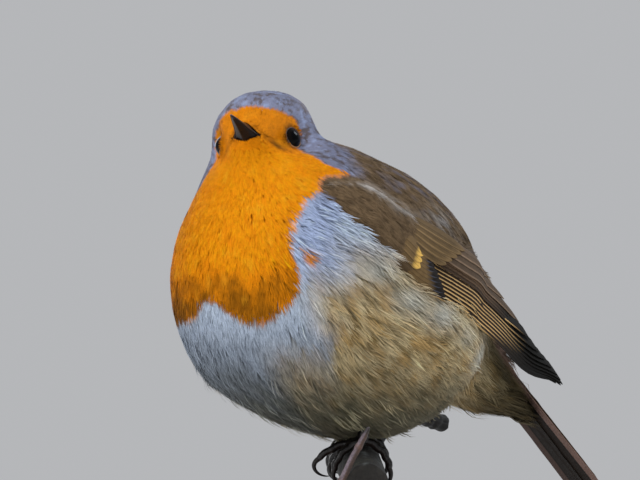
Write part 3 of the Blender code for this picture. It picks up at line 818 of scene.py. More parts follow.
def lie(p, n):
    """The way that the feathers lie at places: away from the bill on the head, back and down on the trunk."""
    from_bill = unit(p - BILL_ROOT)
    from_neck = unit(p - FLOW_SOURCE)
    on_head = smoothstep(26, 14, lengths_of(p - from_head((-6, 0, 3))))
    way = mix(from_neck, from_bill, on_head)
    for centre, reach, push in SWEEPS:
        for side in (1, -1):
            mirror = np.array((side, 1, 1))
            way = way + mirror * push * nearness(p, mirror * centre, reach)[:, None]
    way = way - n * np.sum(way * n, axis=1, keepdims=True)
    return unit(way)


flesh = joined_flesh()
outer_points, outer_normals, triangles = mesh_arrays(flesh)


class Whose:
    """Which CAD node a place is nearest to."""

    def __init__(self, names):
        points, faces, self.names, self.owner = [], [], list(names), []
        for k, name in enumerate(self.names):
            p, _, t = mesh_arrays(NODES[name].data)
            faces.extend((t + len(points)).tolist())
            points.extend(p.tolist())
            self.owner += [k] * len(t)
        self.tree = BVHTree.FromPolygons(points, faces)

    def is_wing(self, places):
        """1 at places nearest to a wing's node, 0 at the others."""
        wing = np.zeros(len(places))
        for i, p in enumerate(places):
            wing[i] = self.names[self.owner[self.tree.find_nearest(p)[2]]].startswith("wing")
        return wing


WHOSE = Whose(FLESH + SHOULDERS)
outer_wing = WHOSE.is_wing(outer_points)


def meet_lids(points):
    """Eases the skin round each eye in or out, so that it meets the lids' edge all the way round."""
    h = to_head(points)
    for side in (1, -1):
        out, around, axis = round_eye(h, side)
        off = lengths_of(around)
        share = np.where(out > LID_LEVEL, smoothstep(2.7, 6.8, off), smoothstep(2.7, 4.8, off))
        move = (LID_LEVEL - out) * (1 - share) * ((out > 0) & (out < 8) & (off < 6.8))
        h = h + axis * move[:, None]
    return from_head(h)


# Hollows of the skin: centre, reach and push. The nape, the back behind it, and the cheeks behind the eyes.
HOLLOWS = (
    ((6.0, -13.5, 74.5), (9, 6, 6), (-0.8, -1.1, -1.7)),
    ((9.0, -1.0, 70.0), (12, 10, 8), (-0.3, 0.0, -0.9)),
    (from_head((-2.5, 12.0, -2.0)), (4.5, 4.5, 4.5), HEAD_AXES @ (0, -1.0, 0)),
    (from_head((-2.5, -12.0, -2.0)), (4.5, 4.5, 4.5), HEAD_AXES @ (0, 1.3, 0)),
)


def hollowed(points):
    """Places on the skin, pressed in where the plumage lies flat."""
    for centre, reach, push in HOLLOWS:
        points = points + np.array(push) * nearness(points, centre, reach)[:, None]
    return points


SHOULDER_SHARE = 0.7  # of the coat's depth, on the wings' shoulders
depth = tract_values(outer_points)[:, 3]
share = np.where(outer_wing > 0, SHOULDER_SHARE, 1.0)
unpressed = outer_points - outer_normals * depth[:, None] * share[:, None]
skin_points = meet_lids(hollowed(unpressed))
skin_mesh = mesh_of("skin", skin_points, triangles)
moved = lengths_of(skin_points - unpressed) > 0.01
skin_normals = np.where(moved[:, None], mesh_arrays(skin_mesh)[1], outer_normals)
skin = Surface(skin_points, skin_normals, triangles)
paint(skin_mesh, "plumage", markings_and_painted_light(outer_points, outer_wing) * 0.95)
place_piece("skin", skin_mesh, plumage_material("skin_down", 2.2), FLESH + SHOULDERS)

# ---------------------------------------------------------------- coat

NODES_ALONG = 4
COAT = plumage_material("coat_barbs", 1.1)
PIECE_LIMIT = 190000
PATCH = 0.0027  # side of each tuft's patch on the coat's map


def strip_mesh(name, points, across, halves, normals, colours, uv):
    """Many narrow tapered strips. Each row of points runs from root to tip, which is a single point.

    points, across, normals and colours are strips x sections x 3, halves are strips x sections, and uv is
    strips x sections x 2. All but points and uv may be given once for all strips or sections.
    """
    count, sections = points.shape[:2]
    normals, colours = (np.broadcast_to(v, points.shape) for v in (normals, colours))
    right = points - across * halves[..., None]
    left = points + across * halves[..., None]
    pairs = np.stack([right[:, :-1], left[:, :-1]], axis=2).reshape(count, -1, 3)
    verts = np.concatenate([pairs, points[:, -1:]], axis=1)
    per = verts.shape[1]
    base = (np.arange(count) * per)[:, None]
    quads = [base + np.array([2 * j, 2 * j + 2, 2 * j + 3, 2 * j + 1]) for j in range(sections - 2)]
    tips = base + np.array([per - 3, per - 1, per - 2])
    quads = np.stack(quads, axis=1).reshape(-1, 4) if quads else np.zeros((0, 4), int)
    mesh = mesh_of(name, verts.reshape(-1, 3), [quads, tips])

    def doubled(values):
        pair = np.repeat(values[:, :-1], 2, axis=1)
        return np.concatenate([pair, values[:, -1:]], axis=1).reshape(count * per, -1)

    paint(mesh, "plumage", doubled(colours))
    map_points(mesh, "OFBake", doubled(uv))
    mesh.normals_split_custom_set_from_vertices(doubled(normals))
    return mesh


def scatter(surface, spacing_at, tries):
    """Places spread evenly over a surface, each no nearer to another than its spacing."""
    a, b, c = (surface.points[surface.triangles[:, k]] for k in range(3))
    area = lengths_of(np.cross(b - a, c - a)) / spacing_at((a + b + c) / 3) ** 2
    pick = rng.choice(len(area), tries, p=area / area.sum())
    u, v = rng.random(tries), rng.random(tries)
    flip = u + v > 1
    u, v = np.where(flip, 1 - u, u), np.where(flip, 1 - v, v)
    places = a[pick] + (b - a)[pick] * u[:, None] + (c - a)[pick] * v[:, None]
    n = surface.normals[surface.triangles[pick, 0]]
    spacing = spacing_at(places)
    near = nearest_of(places)
    free = np.ones(tries, bool)
    kept = []
    for i in range(tries):
        if free[i]:
            kept.append(i)
            for _, j, _ in near.find_range(places[i], spacing[i]):
                free[j] = False
    return places[kept], n[kept]


def skin_map(p):
    """Where places on the body lie on an unwrap of the skin: the head by itself, then the rest."""
    h = to_head(p) - (-8, 0, 2)
    on_head = (p[:, 2] > 58) & (lengths_of(h) < 24)
    q = p - (0, -6, 34)
    uv = np.empty((len(p), 2))
    for mask, v, low, wide in ((on_head, h, 0.70, 0.28), (~on_head, q, 0.02, 0.64)):
        v = unit(v[mask])
        turn = np.arctan2(v[:, 1], v[:, 0]) / (2 * math.pi) + 0.5
        rise = np.arcsin(np.clip(v[:, 2], -1, 1)) / math.pi + 0.5
        uv[mask] = np.stack([low + wide * turn, 0.02 + 0.95 * rise], axis=1)
    return uv


def tuft_lines(roots, normals, lengths):
    """The middle lines of tufts, followed over the skin along the lie of the coat."""
    places, ups, ways = [roots], [normals], []
    p, n = roots, normals
    for _ in range(NODES_ALONG - 1):
        way = lie(p, n)
        ways.append(way)
        p, n = skin.drop(p + way * (lengths / (NODES_ALONG - 1))[:, None])
        places.append(p)
        ups.append(n)
    ways.append(lie(p, n))
    return np.stack(places, 1), np.stack(ups, 1), np.stack(ways, 1)


def tail_lines(roots, normals, lengths):
    """The middle lines of the coverts that sweep from the rump and vent on to the tail."""
    along, across, high = to_tail(roots)
    above = high > -1
    way = lie(roots, normals)
    reach = np.maximum(along, np.where(above, 3, 11)) + lengths * 0.75
    level = np.where(above, 0.9, -2.3) + rng.normal(0, 0.25, len(roots))
    half = (TAIL_ROOT_WIDTH + 2) / 2
    side = np.clip(across * 0.6, -half + 2.4, half - 2.4)
    end = TAIL_ROOT + TAIL_BACK * reach[:, None] + TAIL_OUT * level[:, None]
    end = end + np.array((1.0, 0, 0)) * side[:, None]
    middle = roots + (way * 0.5 + unit(end - roots) * 0.5) * (lengths * 0.45)[:, None] + normals * 0.4
    t = shares(NODES_ALONG)[None, :, None]
    places = roots[:, None] * (1 - t) ** 2 + middle[:, None] * 2 * t * (1 - t) + end[:, None] * t * t
    flat = np.where(above, 1.0, -1.0)[:, None] * TAIL_OUT
    ups = unit(normals[:, None] * (1 - t) + flat[:, None] * t)
    return places, ups, unit(np.gradient(places, axis=1))


def along_lines(values, share):
    """Values at shares from 0 to 1 along each tuft's line. values: tufts x nodes x 3; share: tufts x any."""
    at = np.clip(share, 0, 0.9999) * (NODES_ALONG - 1)
    i = at.astype(int)
    t = (at - i)[..., None]
    rows = np.arange(len(values))[:, None]
    return values[rows, i] * (1 - t) + values[rows, i + 1] * t


def make_tufts(lines_at, roots, normals, values, strands, sections):
    """Strips for the barbs of one feather or lock at each root. Returns arrays for strip_mesh."""
    count = len(roots)
    length = values[:, 0] * rng.uniform(0.85, 1.15, count)
    width, coat, loose = values[:, 1], values[:, 3], values[:, 4]
    lines, ups, ways = lines_at(roots, normals, length)
    slew = rng.normal(0, 0.12, count)
    k = np.linspace(-1, 1, strands)[None, :] + rng.normal(0, 0.12, (count, strands))
    free = loose[:, None]
    start = rng.uniform(0.0, 0.35, (count, strands))
    reach = 1 - 0.30 * k**2 * (1 - 0.4 * free) + rng.normal(0, 0.11 + 0.04 * free, (count, strands))
    reach = np.clip(reach, 0.5, 1.25)
    half = width[:, None] / 2
    across_root = k * half * (0.25 + 0.35 * free)
    pinch = 1 - 0.55 * free * rng.random((count, 1))
    # loose feathers part into a few narrow locks
    locks = 2.0 + rng.random((count, 1))
    drawn = k - 0.85 * free / (2 * math.pi * locks) * np.sin(2 * math.pi * locks * k)
    across_tip = drawn * half * pinch + rng.normal(0, 0.07, (count, strands)) * (0.5 + 1.2 * free)
    rise_tip = coat[:, None] * (1 - (0.04 + 0.2 * free) * rng.random((count, strands)))
    rise_tip = rise_tip + rng.exponential(0.08, (count, strands)) * free
    rise_tip = rise_tip * (1 + 0.22 * free * np.cos(2 * math.pi * locks * k))
    flat_share = np.clip(0.66 - 0.6 * free, 0.12, 0.6)  # close plumage lies level, so that no steps show
    points, ns = [], []
    for s in shares(sections):
        share = start + (reach - start) * s
        middle = along_lines(lines, share)
        up = unit(along_lines(ups, share))
        way = unit(along_lines(ways, share))
        beyond = np.clip(share - 0.9999, 0, 1) * length[:, None]
        side = np.cross(up, way)
        bow = math.sin(math.pi * 0.5 * s)
        t = across_root + (across_tip - across_root) * s**0.8 + (slew * length)[:, None] * s
        wave = 0.12 * free * np.sin(s * 4 + k * 7 + roots[:, :1] * 3)
        height = rise_tip * (flat_share + (1 - flat_share) * bow) - t**2 / 60
        on = middle + way * beyond[..., None]
        points.append(on + side * (t + wave)[..., None] + up * height[..., None])
        ns.append(up)
    points, ns = np.stack(points, 2), np.stack(ns, 2)
    run = unit(points[:, :, 1:] - points[:, :, :-1])
    run = np.concatenate([run, run[:, :, -1:]], axis=2)
    flat = unit(np.cross(ns, run))
    deep = loose[:, None, None, None]
    tilt = rng.normal(0, 1, (count, strands, 1, 1)) * (0.05 + 0.18 * deep)
    across = unit(flat * np.cos(tilt) + ns * np.sin(tilt))
    play = rng.normal(0, 1, (count, strands, 1, 1)) * (0.05 + 0.19 * deep)
    shade_normal = unit(ns + flat * play + run * 0.1)
    thick = ((0.085 + 0.02 * loose) * np.where(width < 1.3, 0.75, 1.0))[:, None, None]
    taper = np.array([0.8, 1.0, 0.8, 0.6][: sections - 1] + [0.0])
    halves = thick * taper[None, None, :] * rng.uniform(0.8, 1.25, (count, strands, 1))
    return points, across, halves, shade_normal, k, reach, locks


def coat_colours(middles, wing, k, locks, sections, loose):
    """Colours of every strand: its place's marking with the painted light and shade there, darker towards the
    root, with a little play.
    """
    count, strands = k.shape
    loose = loose[:, None]
    base = markings_and_painted_light(middles.reshape(-1, 3), np.repeat(wing, strands)).reshape(count, strands, 3)
    tone = 1 + rng.normal(0, 0.02, (count, 1)) + rng.normal(0, 0.07, (count, 1)) * loose
    lock = 1 + 0.22 * np.cos(2 * math.pi * locks * k) * (0.05 + loose)
    each = 1 + rng.normal(0, 0.10, (count, strands)) * (0.3 + loose)
    along = shares(sections)[None, :] * (0.08 + 0.42 * loose) + (0.93 - 0.36 * loose)
    colour = base[:, :, None, :] * (tone * lock * each)[:, :, None, None] * along[:, None, :, None]
    return np.clip(colour, 0, 1)


def over_eye(places):
    """Whether places lie over an eye or its lids."""
    over = np.zeros(len(places), bool)
    for side in (1, -1):
        out, around, _ = round_eye(to_head(places), side)
        over |= (out > 0.2) & (lengths_of(around) < LID_RING + 0.06)
    return over


def add_coat(name, chosen, strands, sections, lines_at=tuft_lines, values=None, gain=1.0):
    """Grows tufts from the chosen roots, as pieces below the limit of triangles."""
    values = tract_values(roots[chosen]) if values is None else values
    points, across, halves, ns, k, reach, locks = make_tufts(
        lines_at, roots[chosen], root_normals[chosen], values, strands, sections
    )
    middles = points[:, :, sections // 2]
    colours = coat_colours(middles, root_wing[chosen], k, locks, sections, values[:, 4])
    colours = np.clip(colours * gain, 0, 0.8)
    origin = skin_map(roots[chosen])[:, None, None, :] - PATCH / 2
    s = shares(sections)[None, None, :] * np.clip(reach, 0, 1)[:, :, None]
    uv = origin + gathered(np.clip(k * 0.5 + 0.5, 0, 1)[:, :, None], s) * PATCH
    keep = ~over_eye(points.reshape(-1, 3)).reshape(-1, sections).any(axis=1)
    rows = [v.reshape(len(keep), *v.shape[2:])[keep] for v in (points, across, halves, ns, colours, uv)]
    count = len(rows[0])
    total = count * (2 * (sections - 2) + 1)
    parts = max(1, math.ceil(total / PIECE_LIMIT))
    for i in range(parts):
        label = name if parts == 1 else f"{name}_{i + 1}"
        mesh = strip_mesh(label, *[r[i * count // parts : (i + 1) * count // parts] for r in rows])
        place_piece(label, mesh, COAT)
    print(name, len(chosen), "tufts", total, "triangles in", parts)


def place_strands(name, points, across, ups, width, taper, colours, uv):
    """Short strands of one width, which tapers along them by the given shares."""
    halves = width * np.array(taper)[None, :]
    place_piece(name, strip_mesh(name, points, across, halves, ups, colours, uv), COAT)


def ring_map(a, out, stations):
    """Places on the map of strands that stand round a ring, by their angle and how far out they are."""
    turn = 0.02 + 0.9 * (a / (2 * math.pi))[:, None]
    return gathered(turn + 0.03 * stations, out[:, None] + 0.03 * stations)


HEAD_MIDDLE = from_head((-6, 0, 2))
TRIES = 110000


def spacing_at(p):
    """How far apart feathers stand at places."""
    from_middle = lengths_of(p - HEAD_MIDDLE)
    return tract_values(p)[:, 2] * (0.58 + 0.22 * smoothstep(17, 26, from_middle))


roots, root_normals = scatter(skin, spacing_at, TRIES)
root_wing = WHOSE.is_wing(roots + root_normals)
head_roots = to_head(roots)
eye_far = lengths_of(one_side(head_roots, 1) - EYE_AT)
pit = (head_roots[:, 1] / 3.9) ** 2 + ((head_roots[:, 2] + 2.3) / 2.7) ** 2 < 1
use = (eye_far > math.hypot(LID_RING + 0.15, LID_LEVEL)) & ~(pit & (head_roots[:, 0] > 4.0))
wing_along, wing_across, wing_off = on_wing(roots)
under_vanes = (wing_across > 0.12) & (wing_across < 0.88) & (wing_along > 0.1) & (wing_off < 3.5)
use &= ~((root_wing == 1) & (wing_along > 0.345))
use &= ~((root_wing == 0) & under_vanes)
roots, root_normals, root_wing, head_roots = roots[use], root_normals[use], root_wing[use], head_roots[use]

in_head = (roots[:, 2] > 57) & (lengths_of(head_roots - (-7, 0, 2)) < 22)
on_body = ~in_head & (root_wing == 0)
along, across, high = to_tail(roots)
below_tail = (high <= -1) & (along > 7) & (high > -17) & (along + 0.5 * high > 7)
by_tail = (root_wing == 0) & (np.abs(across) < 11) & (below_tail | ((high > -1) & (along > -7)))
order = np.argsort(trunk_angle(roots))
for label, mask, strands, sections, slot in (
    ("coat_head", in_head, 18, 3, "orange_plumage"),
    ("coat_body", on_body & ~by_tail, 27, 4, "flank_plumage"),
    ("coat_shoulders", ~in_head & (root_wing == 1), 26, 3, "wing_feathers"),
):
    add_coat(label, order[mask[order]], strands, sections)
# hair-like strands that stray over the wing's lower edge
by_edge = on_body & (wing_lower_gap(roots) < 4.2) & (wing_across[use] < 0.3)
chosen = order[by_edge[order]]
values = tract_values(roots[chosen])
values[:, 0], values[:, 1], values[:, 3], values[:, 4] = 7.0, 2.2, 2.5, 1.15
add_coat("coat_fringe", chosen, 16, 4, values=values)
# loose wisps on the belly, flanks and vent
is_loose = on_body & ~by_tail & (roots[:, 1] < 30) & (tract_values(roots)[:, 4] > 0.55)
is_loose &= rng.random(len(roots)) < 0.13
chosen = order[is_loose[order]]
values = tract_values(roots[chosen])
values[:, 0] = values[:, 0] * 1.15
values[:, 1], values[:, 3], values[:, 4] = 1.3, values[:, 3] + rng.uniform(0.3, 1.3, len(chosen)), 1.4
pale = 1.08 + 1.9 * smoothstep(18, 8, roots[chosen, 2]) * smoothstep(0, -12, roots[chosen, 1])
add_coat("coat_wisps", chosen, 9, 4, values=values, gain=pale[:, None, None, None])
chosen = np.flatnonzero(by_tail)
values = tract_values(roots[chosen])
values[:, 0], values[:, 1], values[:, 4] = np.where(high[chosen] > -1, 9.0, 12.5), 3.0, 0.5
add_coat("coat_tail_coverts", chosen, 34, 5, tail_lines, values)

# ---------------------------------------------------------------- vanes

BARB_GAP = 0.42


def vane_material(name):
    """A flight feather: dark vane, paler outer edge, dark shaft, and fine slanting barbs."""
    made, tree, shader = new_material(name)
    where = add(tree, "ShaderNodeUVMap", uv_map="vane")
    split = tree.nodes.new("ShaderNodeSeparateXYZ")
    tree.links.new(where.outputs["UV"], split.inputs[0])
    across = split.outputs["X"]
    wobble = texture(tree, NOISE, Scale=0.7, Detail=3.0)
    moved = maths(tree, "ADD", across, maths(tree, "MULTIPLY_ADD", wobble, 0.06, -0.03))
    mask = ramp(tree, moved, [(0.0, 1.0), (0.17, 1.0), (0.23, 0.0), (1.0, 0.0)])
    colour = blended(tree, mask, attribute(tree, "plumage"), attribute(tree, "edge"))
    often = maths(tree, "MULTIPLY", attribute(tree, "barb", "Fac"), 2 * math.pi / BARB_GAP)
    waves = maths(tree, "SINE", often)
    for value, stops in (
        (across, [(0.0, 1.0), (0.375, 1.0), (0.40, 0.45), (0.425, 1.0), (1.0, 1.0)]),
        (waves, [(0.0, 0.86), (0.6, 1.0)]),
        (wobble, [(0.3, 0.82), (0.7, 1.0)]),
    ):
        colour = multiplied(tree, colour, ramp(tree, value, stops))
    tree.links.new(colour, shader.inputs["Base Color"])
    preset(shader, {"Roughness": 0.6, "Specular IOR Level": 0.07})
    bump(tree, shader, waves, 0.02, 0.6)
    return made


class Vanes:
    """Gathers flight feathers and coverts, each a thin closed solid, into one mesh."""

    COLUMNS = np.array([-1, -0.8, -0.55, -0.25, 0, 0.2, 0.5, 0.78, 1.0])
    THICK = 0.14

    def __init__(self):
        self.feathers = []

    def add(
        self, line, ups, sides, outer, inner, colour, edge,
        camber=0.35, tip=0.12, root=0.2, fade=(2, 3), rim=0.5,
    ):
        """line: places of the shaft; ups: outwards; sides: towards the inner web; outer, inner: widths."""
        count = len(line)
        t = shares(count)
        round_tip = np.sqrt(np.clip(1 - (np.clip(t - (1 - tip), 0, 1) / tip) ** 2, 0.0025, 1))
        narrow = np.clip(t / root, 0, 1) ** 0.6 * 0.75 + 0.25
        width = round_tip * narrow
        share = self.COLUMNS
        inner = np.broadcast_to(inner, (count,))[:, None]
        offset = np.where(share < 0, share * outer, share * inner) * width[:, None]
        run = np.concatenate([[0], np.cumsum(np.linalg.norm(np.diff(line, axis=0), axis=1))])
        ridge = np.where(share == 0, 0.16, 0.0)
        bend = np.where(share > 0, camber, 0.05) * share**2
        height = ridge[None, :] * (1 - t)[:, None] - bend[None, :] * width[:, None]
        ragged = 1 + rng.normal(0, 0.015, (count, len(share))) * (np.abs(share) == 1)
        top = line[:, None] + sides[:, None] * (offset * ragged)[..., None] + ups[:, None] * height[..., None]
        low = top - ups[:, None] * self.THICK
        barb = run[:, None] - np.abs(offset) * 1.3
        pale = np.clip(share + 1, 0, 1) ** (math.log(0.5) / math.log(rim))
        u = np.tile(np.where(share < 0, pale, share + 1) * 0.4, (count, 1))
        v = np.tile(t[:, None], (1, len(share)))
        colour = np.broadcast_to(colour, (count, 3))
        self.feathers.append((top, low, barb, u, v, np.repeat(colour, len(share), axis=0), edge, fade))

    def build(self, name, material, slot, replaces=()):
        """Places all the feathers gathered so far as one piece."""
        points, quads, colours, edges, barbs, vane, bake = [], [], [], [], [], [], []
        total = len(self.feathers)
        at = 0
        for k, (top, low, barb, u, v, colour, edge, fade) in enumerate(self.feathers):
            rows, columns = top.shape[:2]
            grid = np.arange(rows * columns).reshape(rows, columns)
            a, b, c, d = grid[:-1, :-1], grid[1:, :-1], grid[1:, 1:], grid[:-1, 1:]
            face = np.stack([a, d, c, b], -1).reshape(-1, 4)
            under = face[:, ::-1] + rows * columns
            rim = np.concatenate([grid[0], grid[1:, -1], grid[-1, -2::-1], grid[-2:0:-1, 0]])
            after = np.roll(rim, -1)
            skirt = np.stack([after, rim, rim + rows * columns, after + rows * columns], -1)
            quads.append(np.concatenate([face, under, skirt]) + at)
            points.append(np.concatenate([top.reshape(-1, 3), low.reshape(-1, 3)]))
            n = rows * columns * 2
            # painted shade: each vane's underside is darker than its top
            colours.append(np.tile(colour, (2, 1)) * np.repeat([1.0, 0.8], rows * columns)[:, None])
            edges.append(mix(edge, np.tile(colour, (2, 1)), np.tile(smoothstep(*fade, v.ravel()), 2)))
            barbs.append(np.tile(barb.ravel(), 2))
            vane.append(np.tile(np.stack([u.ravel(), v.ravel()], -1), (2, 1)))
            strip = np.stack([(k + 0.05 + 0.42 * u.ravel()) / total, 0.01 + 0.98 * v.ravel()], -1)
            bake.append(np.concatenate([strip, strip + (0.48 / total, 0)]))
            at += n
        mesh = mesh_of(name, np.concatenate(points), np.concatenate(quads))
        paint(mesh, "plumage", np.concatenate(colours))
        paint(mesh, "edge", np.concatenate(edges))
        lines = mesh.attributes.new("barb", "FLOAT", "POINT")
        lines.data.foreach_set("value", np.concatenate(barbs).astype(np.float32))
        map_points(mesh, "OFBake", np.concatenate(bake))
        map_points(mesh, "vane", np.concatenate(vane))
        mesh.set_sharp_from_angle(angle=math.radians(50))
        return place_piece(name, mesh, material, replaces)


VANE = vane_material("vane")

# ---------------------------------------------------------------- wings

FLIGHT_ROWS = 22  # places along a flight feather
STEADY, STRAIGHT = 0.86, 0.97  # shares along the wing, past which its ways and then its line stop turning
EDGE_BUFF = linear(226, 184, 122)
FLIGHT_DARK, FLIGHT_TIP = linear(50, 38, 28), linear(20, 18, 15)
SECONDARY_BROWN, TERTIAL_BROWN = linear(92, 72, 54), linear(112, 92, 74)
COVERT_BROWN, ALULA_DARK, COVERT_SPOT = linear(112, 90, 60), linear(42, 37, 34), linear(232, 186, 96)
SLATE_EDGE = linear(78, 80, 92)


def primaries_top(along):
    """How far across the wing the primaries' upper border lies."""
    share = np.clip((along - 0.4) / 0.6, 0, 1)
    return 0.47 + 0.09 * share + 0.44 * smoothstep(0.8, 1.05, share)


def wing_feather(
    vanes, side, start, end, across, outer, inner, lift, colour, edge, rows=FLIGHT_ROWS, **shape
):
    """One feather of a wing. across gives the place of its outer edge at shares along the wing."""
    a = np.linspace(start, end, rows)
    steady = np.minimum(a, STEADY)
    c = np.clip(across(a), 0, 1)
    size = lengths_of(wing_places(steady, np.ones(rows)) - wing_places(steady, np.zeros(rows)))
    c = np.minimum(c, 1.02 - (outer * 0.9 + 0.5) / size)
    # past the wing's last places the feathers run straight on
    onward = (wing_places(STRAIGHT, 0.4) - wing_places(STRAIGHT - 0.04, 0.4)) / 0.04
    p = wing_places(np.minimum(a, STRAIGHT), c) + onward * np.maximum(a - STRAIGHT, 0)[:, None]
    # the web lies along the chord to where its far edge comes, so that the next feather can lie on it
    out, up = wing_frames(steady, c)
    reach = np.clip(inner / size, 0.02, None)
    chord = wing_places(steady, np.clip(c + reach, 0, 1)) - wing_places(steady, c)
    up = unit(chord + up * 0.2)
    out = unit(out - up * np.sum(out * up, axis=1, keepdims=True))
    inner = np.minimum(inner, np.maximum((1.03 - c) * size - outer * 0.9, 0.5))
    heights = lift(shares(rows)) if callable(lift) else np.full(rows, lift)
    line = p + up * outer * 0.9 + out * heights[:, None]
    flip = np.array((side, 1, 1))
    vanes.add(line * flip, out * flip, up * flip, outer, inner, colour, edge, **shape)


def toned(colour, end, low, high, rows):
    """A feather's colour along its length, changing from one to another between two shares."""
    return mix(colour, end, smoothstep(low, high, shares(rows)))


PRIMARY_ENDS = (0.86, 0.90, 0.93, 0.96, 0.985, 1.002, 1.013, 1.008, 0.99)
TERTIALS = ((0.83, 0.56, 0.66, 3.6), (0.76, 0.67, 0.78, 3.0), (0.68, 0.79, 0.89, 2.8))  # end, places, width
COVERTS = 8


def add_flight(vanes, side):
    """Primaries, secondaries and tertials, from the innermost layer outwards."""
    count = len(PRIMARY_ENDS)
    for i in range(count - 1, -1, -1):
        share = 1 - (i + 0.75) / (count + 0.3)
        colour = toned(FLIGHT_DARK * rng.uniform(0.85, 1.15), FLIGHT_TIP, 0.45, 0.8, FLIGHT_ROWS)
        wing_feather(
            vanes, side, 0.40, PRIMARY_ENDS[i], lambda a, s=share: primaries_top(a) * s + 0.012 * (1 - a),
            0.75, 3.8, lambda t, i=i: -1.75 + 0.11 * (count - i) + 1.5 * smoothstep(0.72, 1.0, t), colour,
            EDGE_BUFF * rng.uniform(0.8, 1.05), tip=0.2, camber=0.25,
            fade=(0.78 - 0.05 * i, 0.95 - 0.045 * i), root=0.05, rim=0.42,
        )
    for j in range(3):
        base = SECONDARY_BROWN * (0.45 + 0.35 * j)
        wing_feather(
            vanes, side, 0.40, 0.83 - 0.02 * j,
            lambda a, j=j: primaries_top(a) * (1 - 0.2 * a) + 0.02 + 0.05 * j,
            1.0, 4.2, -0.55 + 0.13 * j, toned(base, FLIGHT_TIP * 1.6, 0.6, 1.0, FLIGHT_ROWS),
            base * 1.6, tip=0.12, camber=0.3, fade=(0.5, 0.9), root=0.05, rim=0.35,
        )
    for k, (end, place, far, width) in enumerate(TERTIALS):
        wing_feather(
            vanes, side, 0.38, end,
            lambda a, c=place, e=far: c + (e - c) * np.clip((a - 0.45) / 0.4, 0, 1) ** 1.5,
            1.8, width, 0.05 + 0.2 * k, TERTIAL_BROWN * (0.6 + 0.1 * k), TERTIAL_BROWN * (1.35 + 0.15 * k),
            tip=0.3, camber=0.4, rim=0.25,
        )


def covert_lift(low, high, i):
    """How a covert stands off the wing along its length: it rises, then lies level."""
    return lambda t: low + 0.06 * i + high * np.sin(math.pi * np.minimum(t * 0.8, 0.5))


def add_coverts(vanes, side):
    """Greater coverts, three of them with buff tips, and dark-tipped primary coverts over them."""
    for i in range(COVERTS):
        spot = i < 3
        place = 0.17 + 0.085 * i if spot else 0.42 + 0.1 * (i - 3)
        end = 0.372 - 0.004 * i if spot else 0.395 + 0.013 * i
        base = COVERT_BROWN * rng.uniform(0.85, 1.1)
        spotted, plain = (base, COVERT_SPOT, 0.72, 0.86, 16), (base * 0.8, base * 1.25, 0.80, 0.95, 16)
        wing_feather(
            vanes, side, 0.27, end, lambda a, c=place: c + 0.12 * (a - 0.45), 1.3, 2.6,
            covert_lift(-0.85, 1.2, i), toned(*(spotted if spot else plain)), base * (1.25 if spot else 1.45),
            rows=16, tip=0.3, camber=0.4, fade=(0.5, 1.2), rim=0.3,
        )
    for i in range(COVERTS):
        colour = toned(COVERT_BROWN * 1.15, ALULA_DARK * rng.uniform(0.85, 1.1), 0.72, 0.84, 14)
        end = 0.468 - 0.0105 * i + rng.uniform(-0.003, 0.003)
        wing_feather(
            vanes, side, 0.31, end, lambda a, c=0.02 + 0.05 * i: c + 0.05 * (a - 0.45), 0.8, 1.9,
            covert_lift(-0.9, 0.9, i), colour, SLATE_EDGE,
            rows=14, tip=0.3, camber=0.2, fade=(0.82, 0.74), rim=0.3,
        )


def make_wing(side, word):
    """Two pieces: the flight feathers, which replace the CAD panels behind the shoulder, and the coverts."""
    vanes, coverts = Vanes(), Vanes()
    add_flight(vanes, side)
    add_coverts(coverts, side)
    flight_nodes = (f"wing_{word}_primaries", f"wing_{word}_secondaries")
    vanes.build(f"wing_{word}_flight", VANE, "wing_feathers", flight_nodes)
    coverts.build(f"wing_{word}_greater", VANE, "wing_feathers")


SIDES = ((1, "left"), (-1, "right"))
for side, word in SIDES:
    make_wing(side, word)

# ---------------------------------------------------------------- tail

TAIL_DARK, TAIL_BROWN = linear(44, 36, 30), linear(86, 69, 54)
OUTERMOST = 5  # number of the outermost feather on each side, from 0 in the middle


def make_tail():
    """Twelve feathers with a shallow notch, the middle pair on top."""
    vanes = Vanes()
    rows = 26
    t = shares(rows)
    width = TAIL_ROOT_WIDTH + (TAIL_END_WIDTH - TAIL_ROOT_WIDTH) * t**0.8
    for i in range(OUTERMOST, -1, -1):
        outermost = i == OUTERMOST
        share = (i + 0.35) / (OUTERMOST + 1)
        length = TAIL_LENGTH - 2.2 * (1 - i / OUTERMOST) - (1.6 if outermost else 0)
        for side in (1, -1):
            drop = -0.15 - 0.24 * i - (0.06 if side < 0 else 0)
            line = TAIL_ROOT + TAIL_BACK * (t * length)[:, None] + TAIL_OUT * (drop - 1.2 * share**2)
            line[:, 0] += side * (share * (width / 2 - 1.6) - (1.1 if outermost else 0))
            ups = np.tile(TAIL_OUT + np.array((side * 0.25 * share, 0, 0)), (rows, 1))
            sides = np.tile(np.array((-side, 0, 0)), (rows, 1)).astype(float)
            base = (TAIL_DARK if i else TAIL_BROWN) * rng.uniform(0.85, 1.15)
            # painted shade: the outermost feathers' pale rims are darker on the bird's right side
            rim = TAIL_RIM * (1.0 if side > 0 else 0.4) if outermost else TAIL_BROWN * rng.uniform(1.0, 1.3)
            vanes.add(
                line, unit(ups), sides, {OUTERMOST: 3.0, 0: 3.2}.get(i, 1.9), 5.2 if i else 3.6, base, rim,
                tip=0.09, camber=0.25, root=0.1, rim=0.9 if outermost else 0.6,
            )
    vanes.build("tail_vanes", VANE, "tail_feathers", ("tail",))


make_tail()

# ---------------------------------------------------------------- eyes


